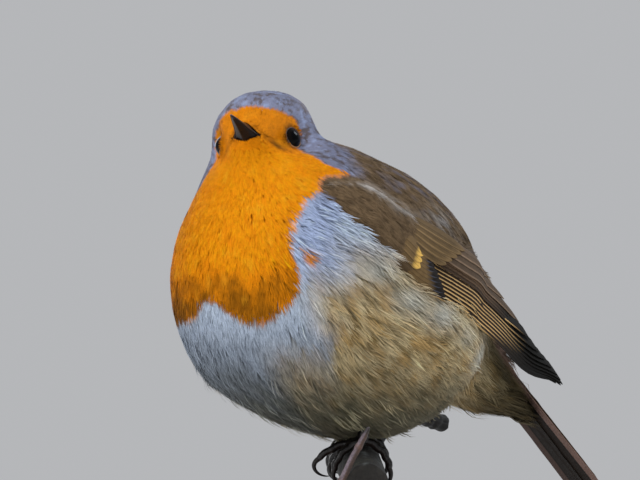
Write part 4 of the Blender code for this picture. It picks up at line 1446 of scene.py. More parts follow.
def from_eye(points, side):
    """Places given across, up and out from an eye's middle, as places on the model."""
    out = unit(EYE_AXIS * (1, side, 1))
    up = unit(np.array((0, 0, 1.0)) - out * out[2])
    middle = np.array(EYE_AT) * (1, side, 1)
    return from_head(middle + points @ np.stack([np.cross(up, out), up, out]))


EYE_WET = painted(
    "eye_wet", NOISE, [(0.3, 0.5), (0.7, 1.0)], {"Roughness": 0.03, "IOR": 1.17}, Scale=2.5, Detail=3.0
)
LID_SKIN = painted(
    "lid_skin", VORONOI, [(0.0, 1.0), (0.6, 0.72)], {"Roughness": 0.6}, (0.05, -0.6), Scale=2.6
)


def make_eyeball(side, word):
    """A dark ball with a cornea that stands out, and a barely paler iris."""
    rings, turns = 40, 56
    polar = np.linspace(0, math.pi * 0.62, rings)
    turn = round_turns(turns)
    radius = EYE_RADIUS * (1 + 0.09 * bell(polar, 0.5))
    ring, level = (radius * np.sin(polar))[:, None], (radius * np.cos(polar))[:, None]
    local = gathered(ring * np.cos(turn), ring * np.sin(turn), level).reshape(-1, 3)
    grid = np.arange(rings * turns).reshape(rings, turns)
    nxt = np.roll(grid, -1, axis=1)
    quads = np.stack([grid[:-1], grid[1:], nxt[1:], nxt[:-1]], -1).reshape(-1, 4)
    mesh = mesh_of(f"eyeball_{word}", from_eye(local, side), quads[:, ::side])
    mesh.validate()
    iris = np.repeat(smoothstep(0.42, 0.5, polar) * smoothstep(1.0, 0.9, polar), turns)
    paint(mesh, "plumage", mix(linear(2, 2, 4), linear(16, 11, 9), iris * 0.8))
    place_piece(f"eyeball_{word}", mesh, EYE_WET, (f"eye_{word}",))


def make_eyelids(side, word):
    """A beaded ring of skin round the eye. Its outer side runs down to the plumage."""
    turns, section = 96, 12
    a, b = round_turns(turns), round_turns(section)
    ring = LID_RING * (1 + 0.02 * np.cos(2 * a) + 0.01 * np.cos(4 * a))
    level = np.sqrt(EYE_RADIUS**2 - ring**2) + 0.05
    beads = 1 + 0.16 * np.abs(np.sin(a * 19)) + 0.05 * np.sin(a * 7)
    thick = (0.13 * beads * (1 + 0.25 * np.maximum(0, -np.sin(a))))[:, None]
    skirt = (np.cos(b) > 0.3) & (np.sin(b) < 0.1)
    r = np.where(skirt, ring[:, None] + 0.42, ring[:, None] + thick * np.cos(b))
    z = np.where(skirt, LID_LEVEL - 0.25, level[:, None] + thick * 0.9 * np.sin(b))
    local = np.stack([r * np.cos(a)[:, None], r * np.sin(a)[:, None], z], -1).reshape(-1, 3)
    grid = np.arange(turns * section).reshape(turns, section)
    right, up = np.roll(grid, -1, axis=0), np.roll(grid, -1, axis=1)
    quads = np.stack([grid, right, np.roll(right, -1, axis=1), up], -1).reshape(-1, 4)
    mesh = mesh_of(f"eyelids_{word}", from_eye(local, side), quads[:, ::side])
    # a pale ring low at the rear, and painted shade over the top and front of the lids
    pale = smoothstep(0.3, -0.5, np.sin(a)) * smoothstep(0.9, 0.0, -side * np.cos(a))
    inner = np.tile(smoothstep(0.2, -0.5, np.cos(b)), turns)
    tint = mix(linear(58, 34, 16), linear(196, 134, 72), np.repeat(pale, section))
    tint = mix(tint, linear(24, 18, 16), inner * 0.85)
    around = markings_and_painted_light(from_eye(local * (1.2, 1.2, 1), side), np.zeros(len(local))) * 0.6
    paint(mesh, "plumage", mix(tint, around, np.tile(skirt, turns).astype(float)))
    place_piece(f"eyelids_{word}", mesh, LID_SKIN)


def make_eye_feathers(side, word):
    """Short feathers in rings round the lids."""
    count = 2200
    a = rng.uniform(0, 2 * math.pi, count)
    far = rng.uniform(0, 1, count)
    r = (LID_RING + 0.14 + 1.9 * far**1.3)[:, None]
    out = gathered(np.cos(a), np.sin(a), 0)
    middle, over = skin.drop(from_eye(out * r + (0, 0, LID_LEVEL), side))
    outward = from_eye(out * (r + 1), side) - from_eye(out * r, side)
    way = unit(lie(middle, over) + outward * 0.3 + rng.normal(0, 0.12, (count, 3)))
    way = unit(way - over * np.sum(way * over, axis=1, keepdims=True) + over * 0.12)
    # none may cross the eye
    inward = np.sum(way * outward, axis=1)
    way = unit(way - outward * np.minimum(inward - 0.1, 0)[:, None])
    stations = shares(4)
    length = rng.uniform(0.8, 1.4, count)
    points = middle[:, None] + way[:, None] * (length[:, None] * stations)[..., None]
    points += over[:, None] * (0.18 * np.sin(math.pi * stations))[None, :, None]
    tone = markings_and_painted_light(points[:, 1], np.zeros(count)) * rng.uniform(0.85, 1.05, (count, 1))
    colours = tone[:, None] * np.array([0.8, 1, 1, 1])[None, :, None]
    across, up = unit(np.cross(over, way))[:, None], over[:, None]
    name, uv = f"eye_feathers_{word}", ring_map(a, 0.05 + 0.85 * far, stations)
    place_strands(name, points, across, up, 0.07, (0.9, 1, 0.7, 0), colours, uv)


for side, word in SIDES:
    make_eyeball(side, word)
    make_eyelids(side, word)
    make_eye_feathers(side, word)

# ---------------------------------------------------------------- bill


def horn_material(name, rough, fine):
    """Dark horn with play of gloss over fine grain."""
    return painted(
        name, NOISE, [(0.3, 0.6), (0.7, 1.0)], {"Specular IOR Level": 0.22}, (0.03, 0.6),
        gloss=[(0.3, rough - 0.06), (0.7, rough + 0.08)], Scale=fine, Detail=5.0,
    )


HORN = horn_material("bill_horn", 0.36, 1.6)


def tube_faces(rings, turns, ends=True):
    """Faces between rings of points, with one face over each end if wanted."""
    grid = np.arange(rings * turns).reshape(rings, turns)
    nxt = np.roll(grid, -1, axis=1)
    faces = [np.stack([grid[:-1], nxt[:-1], nxt[1:], grid[1:]], -1).reshape(-1, 4)]
    if ends:
        faces += [grid[0][None, ::-1], grid[-1][None, :]]
    return faces


def bill_section(t):
    """Half width, share of the full height, and level of the gape, at shares along the bill."""
    half = 3.0 * ((1 - t) ** 0.95 * 0.93 + 0.07) + 1.1 * bell(t, 0.24)
    slim = (1 - 0.9 * t**1.5) * (1 + 0.3 * bell(t - 0.25, 0.2))
    return half, slim, BILL_UP - 0.4 * t * t - 0.5 * (1 - t) ** 2


def bill_round(a, power):
    """Shares of the half width and of the height at angles round the bill's section."""
    return np.sign(np.cos(a)) * np.abs(np.cos(a)) ** power, (1 - np.abs(np.cos(a)) ** 1.4) ** (1 / 1.4)


def make_bill_half(word, end, full_height, sign, wide, power, pale):
    """One half of the bill: a shell outside, and a shallow flat roof or floor of the mouth inside."""
    rings, turns = 44, 36
    t, a = shares(rings), round_turns(turns)
    half, slim, gape = bill_section(t)
    high = (full_height * slim)[:, None]
    bow = np.sin(a)
    sideways, upright = bill_round(a, power)
    across = (half * wide)[:, None] * sideways
    rise = high * np.where(bow > 0, upright, 0.0) + np.where(bow <= 0, -0.12 * np.abs(bow), 0.0) * high
    rise = rise + bell(np.cos(a), 0.25) * (bow > 0) * 0.10 * high  # the keel along its middle
    x = (BILL_BASE + (end - BILL_BASE) * t)[:, None]
    dent = np.zeros((rings, turns))
    if sign > 0:  # the nostril, a slit near the base on each side
        spot = ((x - 9.3) / 1.15) ** 2 + ((rise / high - 0.48) / 0.16) ** 2
        dent = np.exp(-spot * 1.3) * (bow > 0)
        across = across * (1 - 0.30 * dent)
    local = gathered(x, across, (gape[:, None] + sign * 0.02) + sign * rise).reshape(-1, 3)
    name = f"bill_{word}_horn"
    mesh = mesh_of(name, from_head(local), [f[:, ::-sign] for f in tube_faces(rings, turns)])
    share = np.repeat(t, turns)
    colour = mix(linear(9, 8, 10), linear(19, 14, 14), smoothstep(0.42, 0.15, share) * pale)
    colour = mix(colour, linear(26, 22, 22), np.tile(bell(bow, 0.22), rings) * 0.3)
    # painted highlight: the tip is paled towards blue-grey
    colour = mix(colour, linear(96, 98, 112), smoothstep(0.9, 1.0, share) * 0.5)
    paint(mesh, "plumage", mix(colour, linear(5, 4, 4), np.clip(dent.ravel() * 1.6, 0, 1)))
    mesh.set_sharp_from_angle(angle=math.radians(60))
    place_piece(name, mesh, HORN, (f"bill_{word}",))


make_bill_half("upper", BILL_TIP, BILL_RISE, 1, 1.0, 0.95, 0.1)
make_bill_half("lower", BILL_TIP - 0.9, BILL_DROP, -1, 0.93, 1.05, 0.5)


def make_bristles():
    """Fine dark bristles at the corners of the mouth and over the nostrils."""
    count = 26
    side = np.where(np.arange(count) % 2, 1.0, -1.0)
    s = rng.random(count)
    root = np.stack([8.2 - 1.6 * s, side * (2.4 + 1.3 * s), -0.6 - 1.6 * s], -1)
    way = unit(np.stack([0.9 - 0.5 * s, side * (0.35 + 0.35 * s), 0.1 - 0.5 * rng.random(count)], -1))
    length = rng.uniform(1.6, 3.0, count)
    stations = shares(5)
    droop = np.array((0, 0, -0.35)) * (stations**2)[None, :, None]
    points = from_head(root[:, None] + way[:, None] * (length[:, None] * stations)[..., None] + droop)
    up = from_head((0, 0, 1)) - HEAD_AT
    across = unit(np.cross(up, unit(np.gradient(points, axis=1))))
    uv = gathered(0.5 + 0.9 * (s[:, None] - 0.5), 0.5 + (stations * 0.8 - 0.4))
    taper = (1, 0.9, 0.7, 0.5, 0)
    place_strands("rictal_bristles", points, across, up, 0.045, taper, linear(38, 28, 22), uv)


make_bristles()


def bill_skin(a, x, grow):
    """Places on the bill's surface at angles round it, at distances forward from the head's middle."""
    half, slim, middle = bill_section(np.clip((x - BILL_BASE) / (BILL_TIP - BILL_BASE), 0, 1))
    sideways, upright = bill_round(a, 0.95)
    rise = np.where(np.sin(a) > 0, BILL_RISE, BILL_DROP) * slim * upright * np.sign(np.sin(a))
    return np.stack([x, half * sideways * grow, middle + rise * grow], -1)


FAR_FORWARD = 20.0  # a plane before the face, from which rays are cast back on to it
MISSED = 13.0  # how far back a ray goes that meets nothing


def collar_rim(a):
    """Places just under the skin, in head axes, round the pit in which the bill stands."""
    rim = gathered(FAR_FORWARD, 4.7 * np.cos(a), -2.3 + 3.5 * np.sin(a))
    back = Vector(-HEAD_AXES[:, 0])
    for i, p in enumerate(from_head(rim)):
        rim[i, 0] = FAR_FORWARD - (skin.tree.ray_cast(Vector(p), back)[3] or MISSED) - 0.2
    return rim


COLLAR_TURNS = 96
COLLAR_RIMS = collar_rim(round_turns(COLLAR_TURNS))


def on_collar(a, s):
    """Places round the collar, from share 0 at its rim to 1 on the bill, and the ways outwards there."""
    at = (a / (2 * math.pi) * COLLAR_TURNS) % COLLAR_TURNS
    i = at.astype(int) % COLLAR_TURNS
    root = mix(COLLAR_RIMS[i], COLLAR_RIMS[(i + 1) % COLLAR_TURNS], at - np.floor(at))
    tall = np.sin(a)
    reach = 7.3 + np.where(tall > 0, 2.5, 1.5) * np.abs(tall) ** 1.2
    near = bill_skin(a, reach, 0.98)
    away = gathered(0, np.cos(a), tall * 0.8)
    middle = (near + root) / 2 + away * 0.45 + (0.35, 0, 0)
    on_bill = bill_skin(a, reach + 2.4 * np.clip(s - 1, 0, 1), 1.04)
    s = s[:, None]
    t = np.clip(s, 0, 1)
    root = root + unit(root - middle) * np.clip(-s, 0, 1) * 2.2
    return np.where(s <= 1, root * (1 - t) ** 2 + middle * 2 * t * (1 - t) + near * t**2, on_bill), away


def make_collar():
    """A band of feathered skin that closes the pit round the bill."""
    rows = 9
    a, s = (g.ravel() for g in np.meshgrid(round_turns(COLLAR_TURNS), shares(rows)))
    band = from_head(on_collar(a, s)[0])
    mesh = mesh_of("bill_collar", band, tube_faces(rows, COLLAR_TURNS, ends=False)[0][:, ::-1])
    corner = smoothstep(0.34, 0.12, np.abs(np.sin(a)))
    paint(mesh, "plumage", mix(markings_and_painted_light(band, np.zeros(len(band))) * 0.7, linear(36, 24, 18), corner))
    place_piece("bill_collar", mesh, plumage_material("collar_down", 2.2))


def make_ruff():
    """The short feathers on the collar, more of them at the corners of the mouth."""
    count, at_corners = 6400, 2200
    a, s = rng.uniform(0, 2 * math.pi, count), rng.uniform(-0.45, 0.85, count)
    corner_turns = math.pi * (rng.random(count) < 0.5) + rng.normal(0, 0.3, count)
    a = np.where(np.arange(count) < at_corners, corner_turns, a) % (2 * math.pi)
    by_mouth = smoothstep(0.45, 0.2, np.abs(np.sin(a))) > 0.5
    s = np.where(by_mouth, 0.35 - 1.3 * rng.random(count), s)
    length = rng.uniform(0.6, 1.0, count) * np.where(by_mouth, -1, 1)  # at the corners they lie back
    stations = shares(4)
    drift = 0.1 * np.sin(a * 9) + rng.normal(0, 0.04, count)
    local = np.empty((count, 4, 3))
    for k, station in enumerate(stations):
        p, away = on_collar(a + drift * station, np.minimum(s + length * station, 1.6))
        local[:, k] = p + away * (0.06 + 0.22 * math.sin(math.pi * 0.8 * station))
    points = from_head(local)
    up = (from_head(unit(away + (0.5, 0, 0))) - HEAD_AT)[:, None]
    across = unit(np.cross(up, unit(np.gradient(points, axis=1))))
    tone = markings_and_painted_light(points[:, 0], np.zeros(count)) * rng.uniform(0.85, 1.05, (count, 1))
    colours = tone[:, None] * np.array([0.85, 1, 1, 1])[None, :, None]
    uv = ring_map(a, 0.1 + 0.85 * s, stations)
    place_strands("bill_ruff", points, across, up, 0.075, (0.9, 1, 0.7, 0), colours, uv)


make_collar()
make_ruff()

# ---------------------------------------------------------------- perch and shoot

PERCH_RADIUS, PERCH_TURN, PERCH_FALL = 5.4, math.radians(-31.5), math.radians(7.0)
PERCH_ROUTE = [
    (27.0, 0.5, -1.5, 5.3), (14.0, 0.0, 0.0, 5.4), (0.0, 0.0, 0.0, 5.4), (-15.0, 0.0, 0.0, 5.4),
    (-21.0, 2.0, 3.0, 4.0), (-28.0, 7.0, 8.0, 2.8), (-37.0, 14.5, 9.0, 2.3), (-44.0, 22.0, 6.3, 2.0),
]
SHOOT_ROUTE = [
    (19.0, -5.6, -5.6, 1.05), (24.5, -6.9, -4.2, 1.05), (29.3, -5.6, -0.8, 1.05), (31.0, -3.0, 5.0, 1.05),
    (31.5, -0.4, 10.0, 1.0), (31.8, 1.1, 13.0, 0.95),
]
FALL_SHARE = math.cos(PERCH_FALL)
PERCH_LINE = np.array(
    (math.cos(PERCH_TURN) * FALL_SHARE, math.sin(PERCH_TURN) * FALL_SHARE, -math.sin(PERCH_FALL))
)
PERCH_FRONT = np.array((math.sin(PERCH_TURN), -math.cos(PERCH_TURN), 0))
PERCH_UP = np.cross(PERCH_FRONT, PERCH_LINE)


def perch_place(along, back=0.0, rise=0.0):
    """Places along the perch, back from its axis and above it."""
    along, back, rise = (np.asarray(v)[..., None] for v in (along, back, rise))
    return np.array((0, 0, -PERCH_RADIUS)) + PERCH_LINE * along - PERCH_FRONT * back + PERCH_UP * rise


def sweep(line, radii, turns, up=(0, 0, 1)):
    """Rings round a line. Returns places (rings x turns x 3), the outward ways, and the angles of a ring."""
    run = unit(np.gradient(line, axis=0))
    side = np.empty_like(line)
    last = unit(np.cross(run[0], np.array(up, float) + 1e-3))
    for i, r in enumerate(run):
        last = unit(last - r * np.dot(last, r))
        side[i] = last
    top = np.cross(side, run)
    a = round_turns(turns)
    out = side[:, None] * np.cos(a)[None, :, None] + top[:, None] * np.sin(a)[None, :, None]
    return line[:, None] + out * (radii[:, None] * np.ones(turns))[..., None], out, a


def bark_material(name, rough, fine):
    """Painted colour with lumps and cracks. The cut ends have no cracks."""
    made, tree, shader = new_material(name)
    coarse = texture(tree, NOISE, Scale=0.55, Detail=6.0, Roughness=0.65)
    cracks = texture(tree, VORONOI, Scale=fine, feature="DISTANCE_TO_EDGE")
    gaps = ramp(tree, cracks, [(0.0, 0.5), (0.12, 1.0)])
    gaps = blended(tree, attribute(tree, "cut", "Fac"), gaps, (1, 1, 1, 1))
    shade = ramp(tree, coarse, [(0.3, 0.55), (0.7, 1.25)])
    tinted = multiplied(tree, attribute(tree, "plumage"), shade)
    tree.links.new(multiplied(tree, tinted, gaps), shader.inputs["Base Color"])
    preset(shader, {"Roughness": rough})
    bump(tree, shader, maths(tree, "MULTIPLY_ADD", cracks, 0.5, coarse), 0.35, 0.7)
    return made


# Knots of the perch: place along it, angle round it, reach and height.
KNOTS = (
    (-19, 2.2, 2.4, 1.0), (-27, 0.6, 1.6, 0.9), (-33, 3.6, 1.5, 0.8), (-39, 1.8, 1.3, 0.7),
    (20, 4.0, 2.6, 0.9),
)
CUT_STEPS = (0.93, 0.75, 0.5, 0.25, 0.06)  # radii of the rings across a cut end, as shares


def cut_layers(edge, run):
    """Rings of wood across a cut end, slightly domed and rough."""
    middle = edge.mean(axis=0)
    layers = []
    for k in CUT_STEPS:
        ring = middle + (edge - middle) * k
        layers.append(ring + run * (0.3 * (1 - k) ** 0.5 + 0.45 * noise(ring, 1.1, 33))[:, None])
    return layers


def make_perch():
    """The twig's bark with ridges, knots and lichen, and the bare wood of its cut ends."""
    rings, turns = 260, 72
    route = smooth_through(PERCH_ROUTE, shares(rings))
    line = perch_place(route[:, 0], route[:, 1], route[:, 2])
    points, out, a = sweep(line, route[:, 3], turns)
    flat = points.reshape(-1, 3)
    along, angle = np.repeat(route[:, 0], turns), np.tile(a, rings)
    stretched = np.stack([along * 0.35, np.cos(angle) * 4.5, np.sin(angle) * 4.5], -1)
    ridge = noise(stretched, 1.5, 21) * 0.5 + noise(stretched, 0.7, 22) * 0.3 + noise(flat, 4, 23) * 0.6
    under_feet = np.exp(-((along / 17) ** 4))
    lump = np.zeros(len(flat))
    for where, turn, wide, high in KNOTS:
        apart = np.abs((angle - turn + math.pi) % (2 * math.pi) - math.pi)
        lump += high * np.exp(-(((along - where) / wide) ** 2) - (apart / 0.7) ** 2)
    push = ridge * (0.5 - 0.32 * under_feet) + lump * (1 - under_feet)
    push += 0.3 * np.sin(along * 3.4 + noise(flat, 3, 27)) * smoothstep(-30, -35, along)
    push *= smoothstep(1.0, 5.4, np.repeat(route[:, 3], turns)) * 0.7 + 0.3
    flat = flat + out.reshape(-1, 3) * push[:, None]
    quads, lids, every = tube_faces(rings, turns, ends=False), [], [flat]
    for first, ring in ((True, 0), (False, rings - 1)):
        run = unit(line[1] - line[0]) * -1 if first else unit(line[-1] - line[-2])
        previous = np.arange(ring * turns, (ring + 1) * turns)
        for layer in cut_layers(flat[previous], run):
            now = sum(len(e) for e in every) + np.arange(turns)
            quad = np.stack([previous, np.roll(previous, -1), np.roll(now, -1), now], -1)
            quads.append(quad[:, ::-1] if first else quad)
            every.append(layer)
            previous = now
        lids.append(previous[None, ::-1] if first else previous[None, :])
    faces = [f[:, ::-1] for f in [np.concatenate(quads)] + lids]
    mesh = mesh_of("perch_bark", np.concatenate(every), faces)
    dark, moss, lichen = linear(27, 24, 21), linear(38, 39, 28), linear(84, 88, 88)
    colour = mix(dark, moss, smoothstep(0.1, 0.7, noise(flat, 3.5, 24)) * 0.6)
    colour = mix(colour, lichen, smoothstep(0.35, 0.6, noise(flat, 1.8, 25)) * 0.65)
    colour = mix(colour, dark * 0.35, smoothstep(0.1, -0.5, ridge) * 0.8)
    wood, heart = linear(36, 32, 27), linear(24, 20, 18)
    inward = np.linspace(0, 0.7, len(CUT_STEPS))
    shades = np.tile(np.repeat(mix(wood, heart, inward), turns, axis=0), (2, 1))
    paint(mesh, "plumage", np.concatenate([colour, shades]))
    paint(mesh, "cut", np.repeat([0.0, 1.0], [len(flat), len(shades)])[:, None] * np.ones(3))
    mesh.set_sharp_from_angle(angle=math.radians(55))
    place_piece("perch_bark", mesh, bark_material("bark", 0.8, 0.55), ("perch",))


SHADED_WAY = np.array((0.545, 0.839, 0))  # the shoot has painted shade on this side and a painted highlight on its other side


def make_shoot():
    """The thin side shoot, with knots, a dark tip, and painted highlight and shade on its sides."""
    rings, turns = 90, 24
    route = smooth_through(SHOOT_ROUTE, shares(rings))
    line = perch_place(route[:, 0], route[:, 1], route[:, 2])
    t = shares(rings)
    knots = sum(0.22 * bell(t - k, 0.022) for k in (0.16, 0.43, 0.72))
    end = np.sqrt(np.clip(1 - (np.clip(t - 0.97, 0, 1) / 0.03) ** 2, 0.02, 1))
    end = end * (1 - 0.45 * smoothstep(0.8, 1.0, t))
    points, out, _ = sweep(line, route[:, 3] * (0.84 - 0.12 * t) * (1 + knots) * end, turns)
    flat, out = points.reshape(-1, 3), out.reshape(-1, 3)
    flat += out * (noise(flat * (1, 1, 0.4), 0.9, 31) * 0.06)[:, None]
    mesh = mesh_of("shoot_bark", flat, [f[:, ::-1] for f in tube_faces(rings, turns)])
    # painted light: a pale highlight on the side facing away from SHADED_WAY, painted shade towards it, and a
    # darker band where the shoot faces straight away from it
    lit = -(out @ SHADED_WAY)
    colour = mix(linear(80, 56, 44), linear(110, 96, 104), smoothstep(-0.1, 0.35, lit))
    colour = mix(colour, linear(70, 48, 42), smoothstep(0.82, 0.97, lit) * 0.8)
    colour = mix(colour, linear(96, 66, 52), np.clip(np.repeat(knots, turns) * 3, 0, 0.6))
    colour = colour * (1 - 0.75 * smoothstep(0.8, 0.95, np.repeat(t, turns)))[:, None]
    paint(mesh, "plumage", colour)
    place_piece("shoot_bark", mesh, bark_material("shoot_skin", 0.5, 1.3), ("perch_shoot",))


make_perch()
make_shoot()

# ---------------------------------------------------------------- feet

FOOT_SPACING, TOE_RADIUS, CLAW_RADIUS, GAP, CLAW_BEND = 22.0, 0.95, 0.62, 0.3, math.radians(125)
# Angles over the perch at which a toe starts and ends, in degrees, its place aside, and its claw's length.
TOES = {
    "hind": (-21.0, -84.0, 0.0, 6.4),
    "inner": (21.0, 78.0, -4.8, 4.6),
    "middle": (21.0, 100.0, 0.0, 5.2),
    "outer": (21.0, 82.0, 5.0, 4.6),
}

# How far a toe's end stands off the perch, in millimetres. The one above LOOPED ends higher, and its claw
# loops back to the perch.
TOE_BULGE = {("left", "middle"): 4.2, ("left", "inner"): 0.5, ("right", "middle"): 0.4}
LOOPED, LOOPED_END, LOOPED_BEND = 2, 74.0, 0.75
SCALE_DARK, SCALE_PALE = linear(17, 14, 14), linear(30, 23, 21)
LEG_SCALES = painted(
    "leg_scales", VORONOI, [(0.0, 0.5), (0.15, 1.0)], {"Roughness": 0.2, "Specular IOR Level": 0.35},
    (0.08, 0.7), Scale=2.4, feature="DISTANCE_TO_EDGE",
)
CLAW_HORN = horn_material("claw_horn", 0.3, 2.0)


def joined(parts):
    """Several (points, faces, colours) as one."""
    points, quads, rest, colours, at = [], [], [], [], 0
    for p, faces, c in parts:
        for f in faces:
            (quads if f.shape[1] == 4 else rest).append(f + at)
        points.append(p)
        colours.append(c)
        at += len(p)
    return np.concatenate(points), [np.concatenate(quads)] + rest, np.concatenate(colours)


def over_perch(angle):
    """The way out from the perch at angles over it, 0 at its top and positive to the front."""
    return PERCH_UP * np.cos(angle)[:, None] + PERCH_FRONT * np.sin(angle)[:, None]


def make_toe(word, side, toe, middle):
    """One toe gripping the perch, with scutes, joints and pads. Returns it and the line it follows."""
    rings, turns = 54, 18
    first, last, aside, _ = TOES[toe]
    bulge = TOE_BULGE.get((word, toe), 0.0)
    last = LOOPED_END if bulge > LOOPED else last
    t = shares(rings)
    angle = np.radians(first * 0.35 + (last - first * 0.35) * t)
    lift = 0.75 * (1 - t) ** 2 + 0.28 * np.sin(math.pi * 3 * t) ** 2 + bulge * t**1.6
    sideways = aside * side * (0.3 + 0.7 * np.sin(math.pi / 2 * t))
    clear = PERCH_RADIUS + GAP + TOE_RADIUS
    line = middle + over_perch(angle) * (clear + lift)[:, None] + PERCH_LINE * sideways[:, None]
    joint = 0.12 * bell(t - 0.34, 0.05) + 0.12 * bell(t - 0.67, 0.05)
    end = np.sqrt(np.clip(1 - (np.clip(t - 0.94, 0, 1) / 0.06) ** 2 * 0.55, 0.05, 1))
    points, out, _ = sweep(line, TOE_RADIUS * (1.0 - 0.22 * t) * (1 + joint) * end, turns, up=PERCH_LINE)
    outward = np.einsum("rtk,rk->rt", out, over_perch(angle))
    top = smoothstep(0.0, 0.5, outward)
    scute = 0.055 * np.abs(np.sin(math.pi * 15 * t)) ** 0.5
    pad = smoothstep(-0.2, -0.9, outward) * (0.10 * np.abs(np.sin(math.pi * 3 * t)))[:, None]
    points = points + out * ((scute[:, None] * top + pad) * TOE_RADIUS)[..., None]
    groove = np.repeat(1 - 0.45 * bell(np.sin(math.pi * 15 * t), 0.25), turns)
    tone = mix(SCALE_PALE, SCALE_DARK, top.ravel()) * groove[:, None]
    return (points.reshape(-1, 3), tube_faces(rings, turns), tone), line, math.radians(last), bulge


def make_claw(line, angle, bulge, length):
    """A claw that curves on from the end of a toe's line."""
    rings, turns = 28, 14
    outward = PERCH_UP * math.cos(angle) + PERCH_FRONT * math.sin(angle)
    heading = unit(line[-1] - line[-3])
    lead, rise = unit(heading + outward * 0.5), unit(outward - heading * 0.5)
    bend = np.linspace(0, CLAW_BEND + (LOOPED_BEND if bulge > LOOPED else 0), rings)
    way = lead * np.sin(bend)[:, None] + rise * (np.cos(bend) - 1)[:, None]
    curve = line[-1] - heading * 0.25 + way * (length * 1.1 / CLAW_BEND)
    s = shares(rings)
    points, _, _ = sweep(curve, CLAW_RADIUS * (1.06 - 0.98 * s**1.25), turns, up=PERCH_LINE)
    shade = mix(linear(34, 28, 26), linear(12, 11, 11), np.repeat(s, turns))
    return points.reshape(-1, 3), tube_faces(rings, turns), shade


def make_shank(middle):
    """The short length of leg that stands on the perch and goes up into the belly's plumage."""
    rings, turns = 60, 20
    ball = middle + PERCH_UP * (PERCH_RADIUS + GAP + TOE_RADIUS + 0.9)
    top = ball + PERCH_UP * 11.0 - PERCH_FRONT * 2.5
    t = shares(rings)
    line = ball + (top - ball) * t[:, None] - PERCH_UP * (1 - t)[:, None] * 0.3
    radius = 1.15 * (1 + 0.55 * bell(t, 0.13) + 0.05 * np.abs(np.sin(math.pi * 9 * t)) ** 0.5)
    radius[0] *= 0.55
    points, out, _ = sweep(line, radius, turns, up=PERCH_FRONT)
    front = smoothstep(-0.1, 0.5, out.reshape(-1, 3) @ PERCH_FRONT)
    groove = np.repeat(1 - 0.4 * bell(np.sin(math.pi * 9 * t), 0.2), turns)
    tone = mix(SCALE_PALE, SCALE_DARK, front) * groove[:, None]
    return points.reshape(-1, 3), tube_faces(rings, turns), tone


def place_joined(name, parts, material, replaces):
    """Places several (points, faces, colours) as one piece."""
    points, faces, colours = joined(parts)
    mesh = mesh_of(name, points, [f[:, ::-1] for f in faces])
    paint(mesh, "plumage", colours)
    place_piece(name, mesh, material, replaces)


def make_foot(side, word):
    """Two pieces: the scaled toes with the shank, and the claws."""
    middle = perch_place(side * FOOT_SPACING / 2)
    toes, claws = [], []
    for toe, (_, _, _, length) in TOES.items():
        made, line, angle, bulge = make_toe(word, side, toe, middle)
        toes.append(made)
        claws.append(make_claw(line, angle, bulge, length))
    hidden = [f"toe_{word}_{toe}" for toe in TOES] + [f"foot_{word}", f"leg_{word}"]
    place_joined(f"foot_scales_{word}", toes + [make_shank(middle)], LEG_SCALES, hidden)
    place_joined(f"claws_{word}", claws, CLAW_HORN, [f"claw_{word}_{toe}" for toe in TOES])


for side, word in SIDES:
    make_foot(side, word)

# ---------------------------------------------------------------- stand


def turned(name, profile, turns, middle=(0.0, 0.0), sharp=35):
    """A turned solid from radius and height pairs, in millimetres above the floor."""
    r, z = (np.array(v)[:, None] for v in zip(*profile))
    a = round_turns(turns)
    rings = gathered(r * np.cos(a) + middle[0], r * np.sin(a) + middle[1], z - PERCH_TOP)
    mesh = mesh_of(name, rings.reshape(-1, 3), tube_faces(len(profile), turns))
    mesh.set_sharp_from_angle(angle=math.radians(sharp))
    return mesh


def walnut_material():
    """Varnished wood with rings, warped tone and fine pores."""
    made, tree, shader = new_material("varnished_walnut")
    place = coordinate(tree, (0.05, 0.5, 0.5))
    grain = add(tree, "ShaderNodeTexWave", wave_type="RINGS", rings_direction="X")
    preset(grain, {"Scale": 0.18, "Distortion": 5.0, "Detail": 4.0, "Detail Scale": 1.2})
    tree.links.new(place, grain.inputs["Vector"])
    warp = texture(tree, NOISE, (0.05, 0.5, 0.5), Scale=0.25, Detail=4.0)
    pores = texture(tree, NOISE, (0.06, 1.0, 1.0), Scale=3.0, Detail=2.0)
    browns = [(0.0, linear(98, 62, 40)), (0.5, linear(126, 84, 54)), (1.0, linear(84, 52, 34))]
    wood = ramp(tree, grain.outputs["Fac"], browns)
    tone = multiplied(tree, wood, ramp(tree, warp, [(0.3, 0.75), (0.7, 1.1)]))
    tone = multiplied(tree, tone, ramp(tree, pores, [(0.38, 0.55), (0.5, 1.0)]))
    tree.links.new(tone, shader.inputs["Base Color"])
    preset(shader, {"Roughness": 0.38, "Coat Weight": 0.35, "Coat Roughness": 0.2})
    bump(tree, shader, pores, 0.05, 0.4)
    return made


def steel_material():
    """Steel brushed along the rod."""
    made, tree, shader = new_material("brushed_steel")
    brush = texture(tree, NOISE, (1.0, 1.0, 14.0), Scale=1.0, Detail=3.0)
    greys = [(0.3, (0.42, 0.42, 0.43)), (0.7, (0.6, 0.6, 0.61))]
    tree.links.new(ramp(tree, brush, greys), shader.inputs["Base Color"])
    tree.links.new(ramp(tree, brush, [(0.3, 0.24), (0.7, 0.38)]), shader.inputs["Roughness"])
    preset(shader, {"Metallic": 1.0})
    bump(tree, shader, brush, 0.01, 0.5)
    return made


def box_of(name):
    """Low and high corners of a CAD node, in millimetres."""
    return (np.array(v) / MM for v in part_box(name))


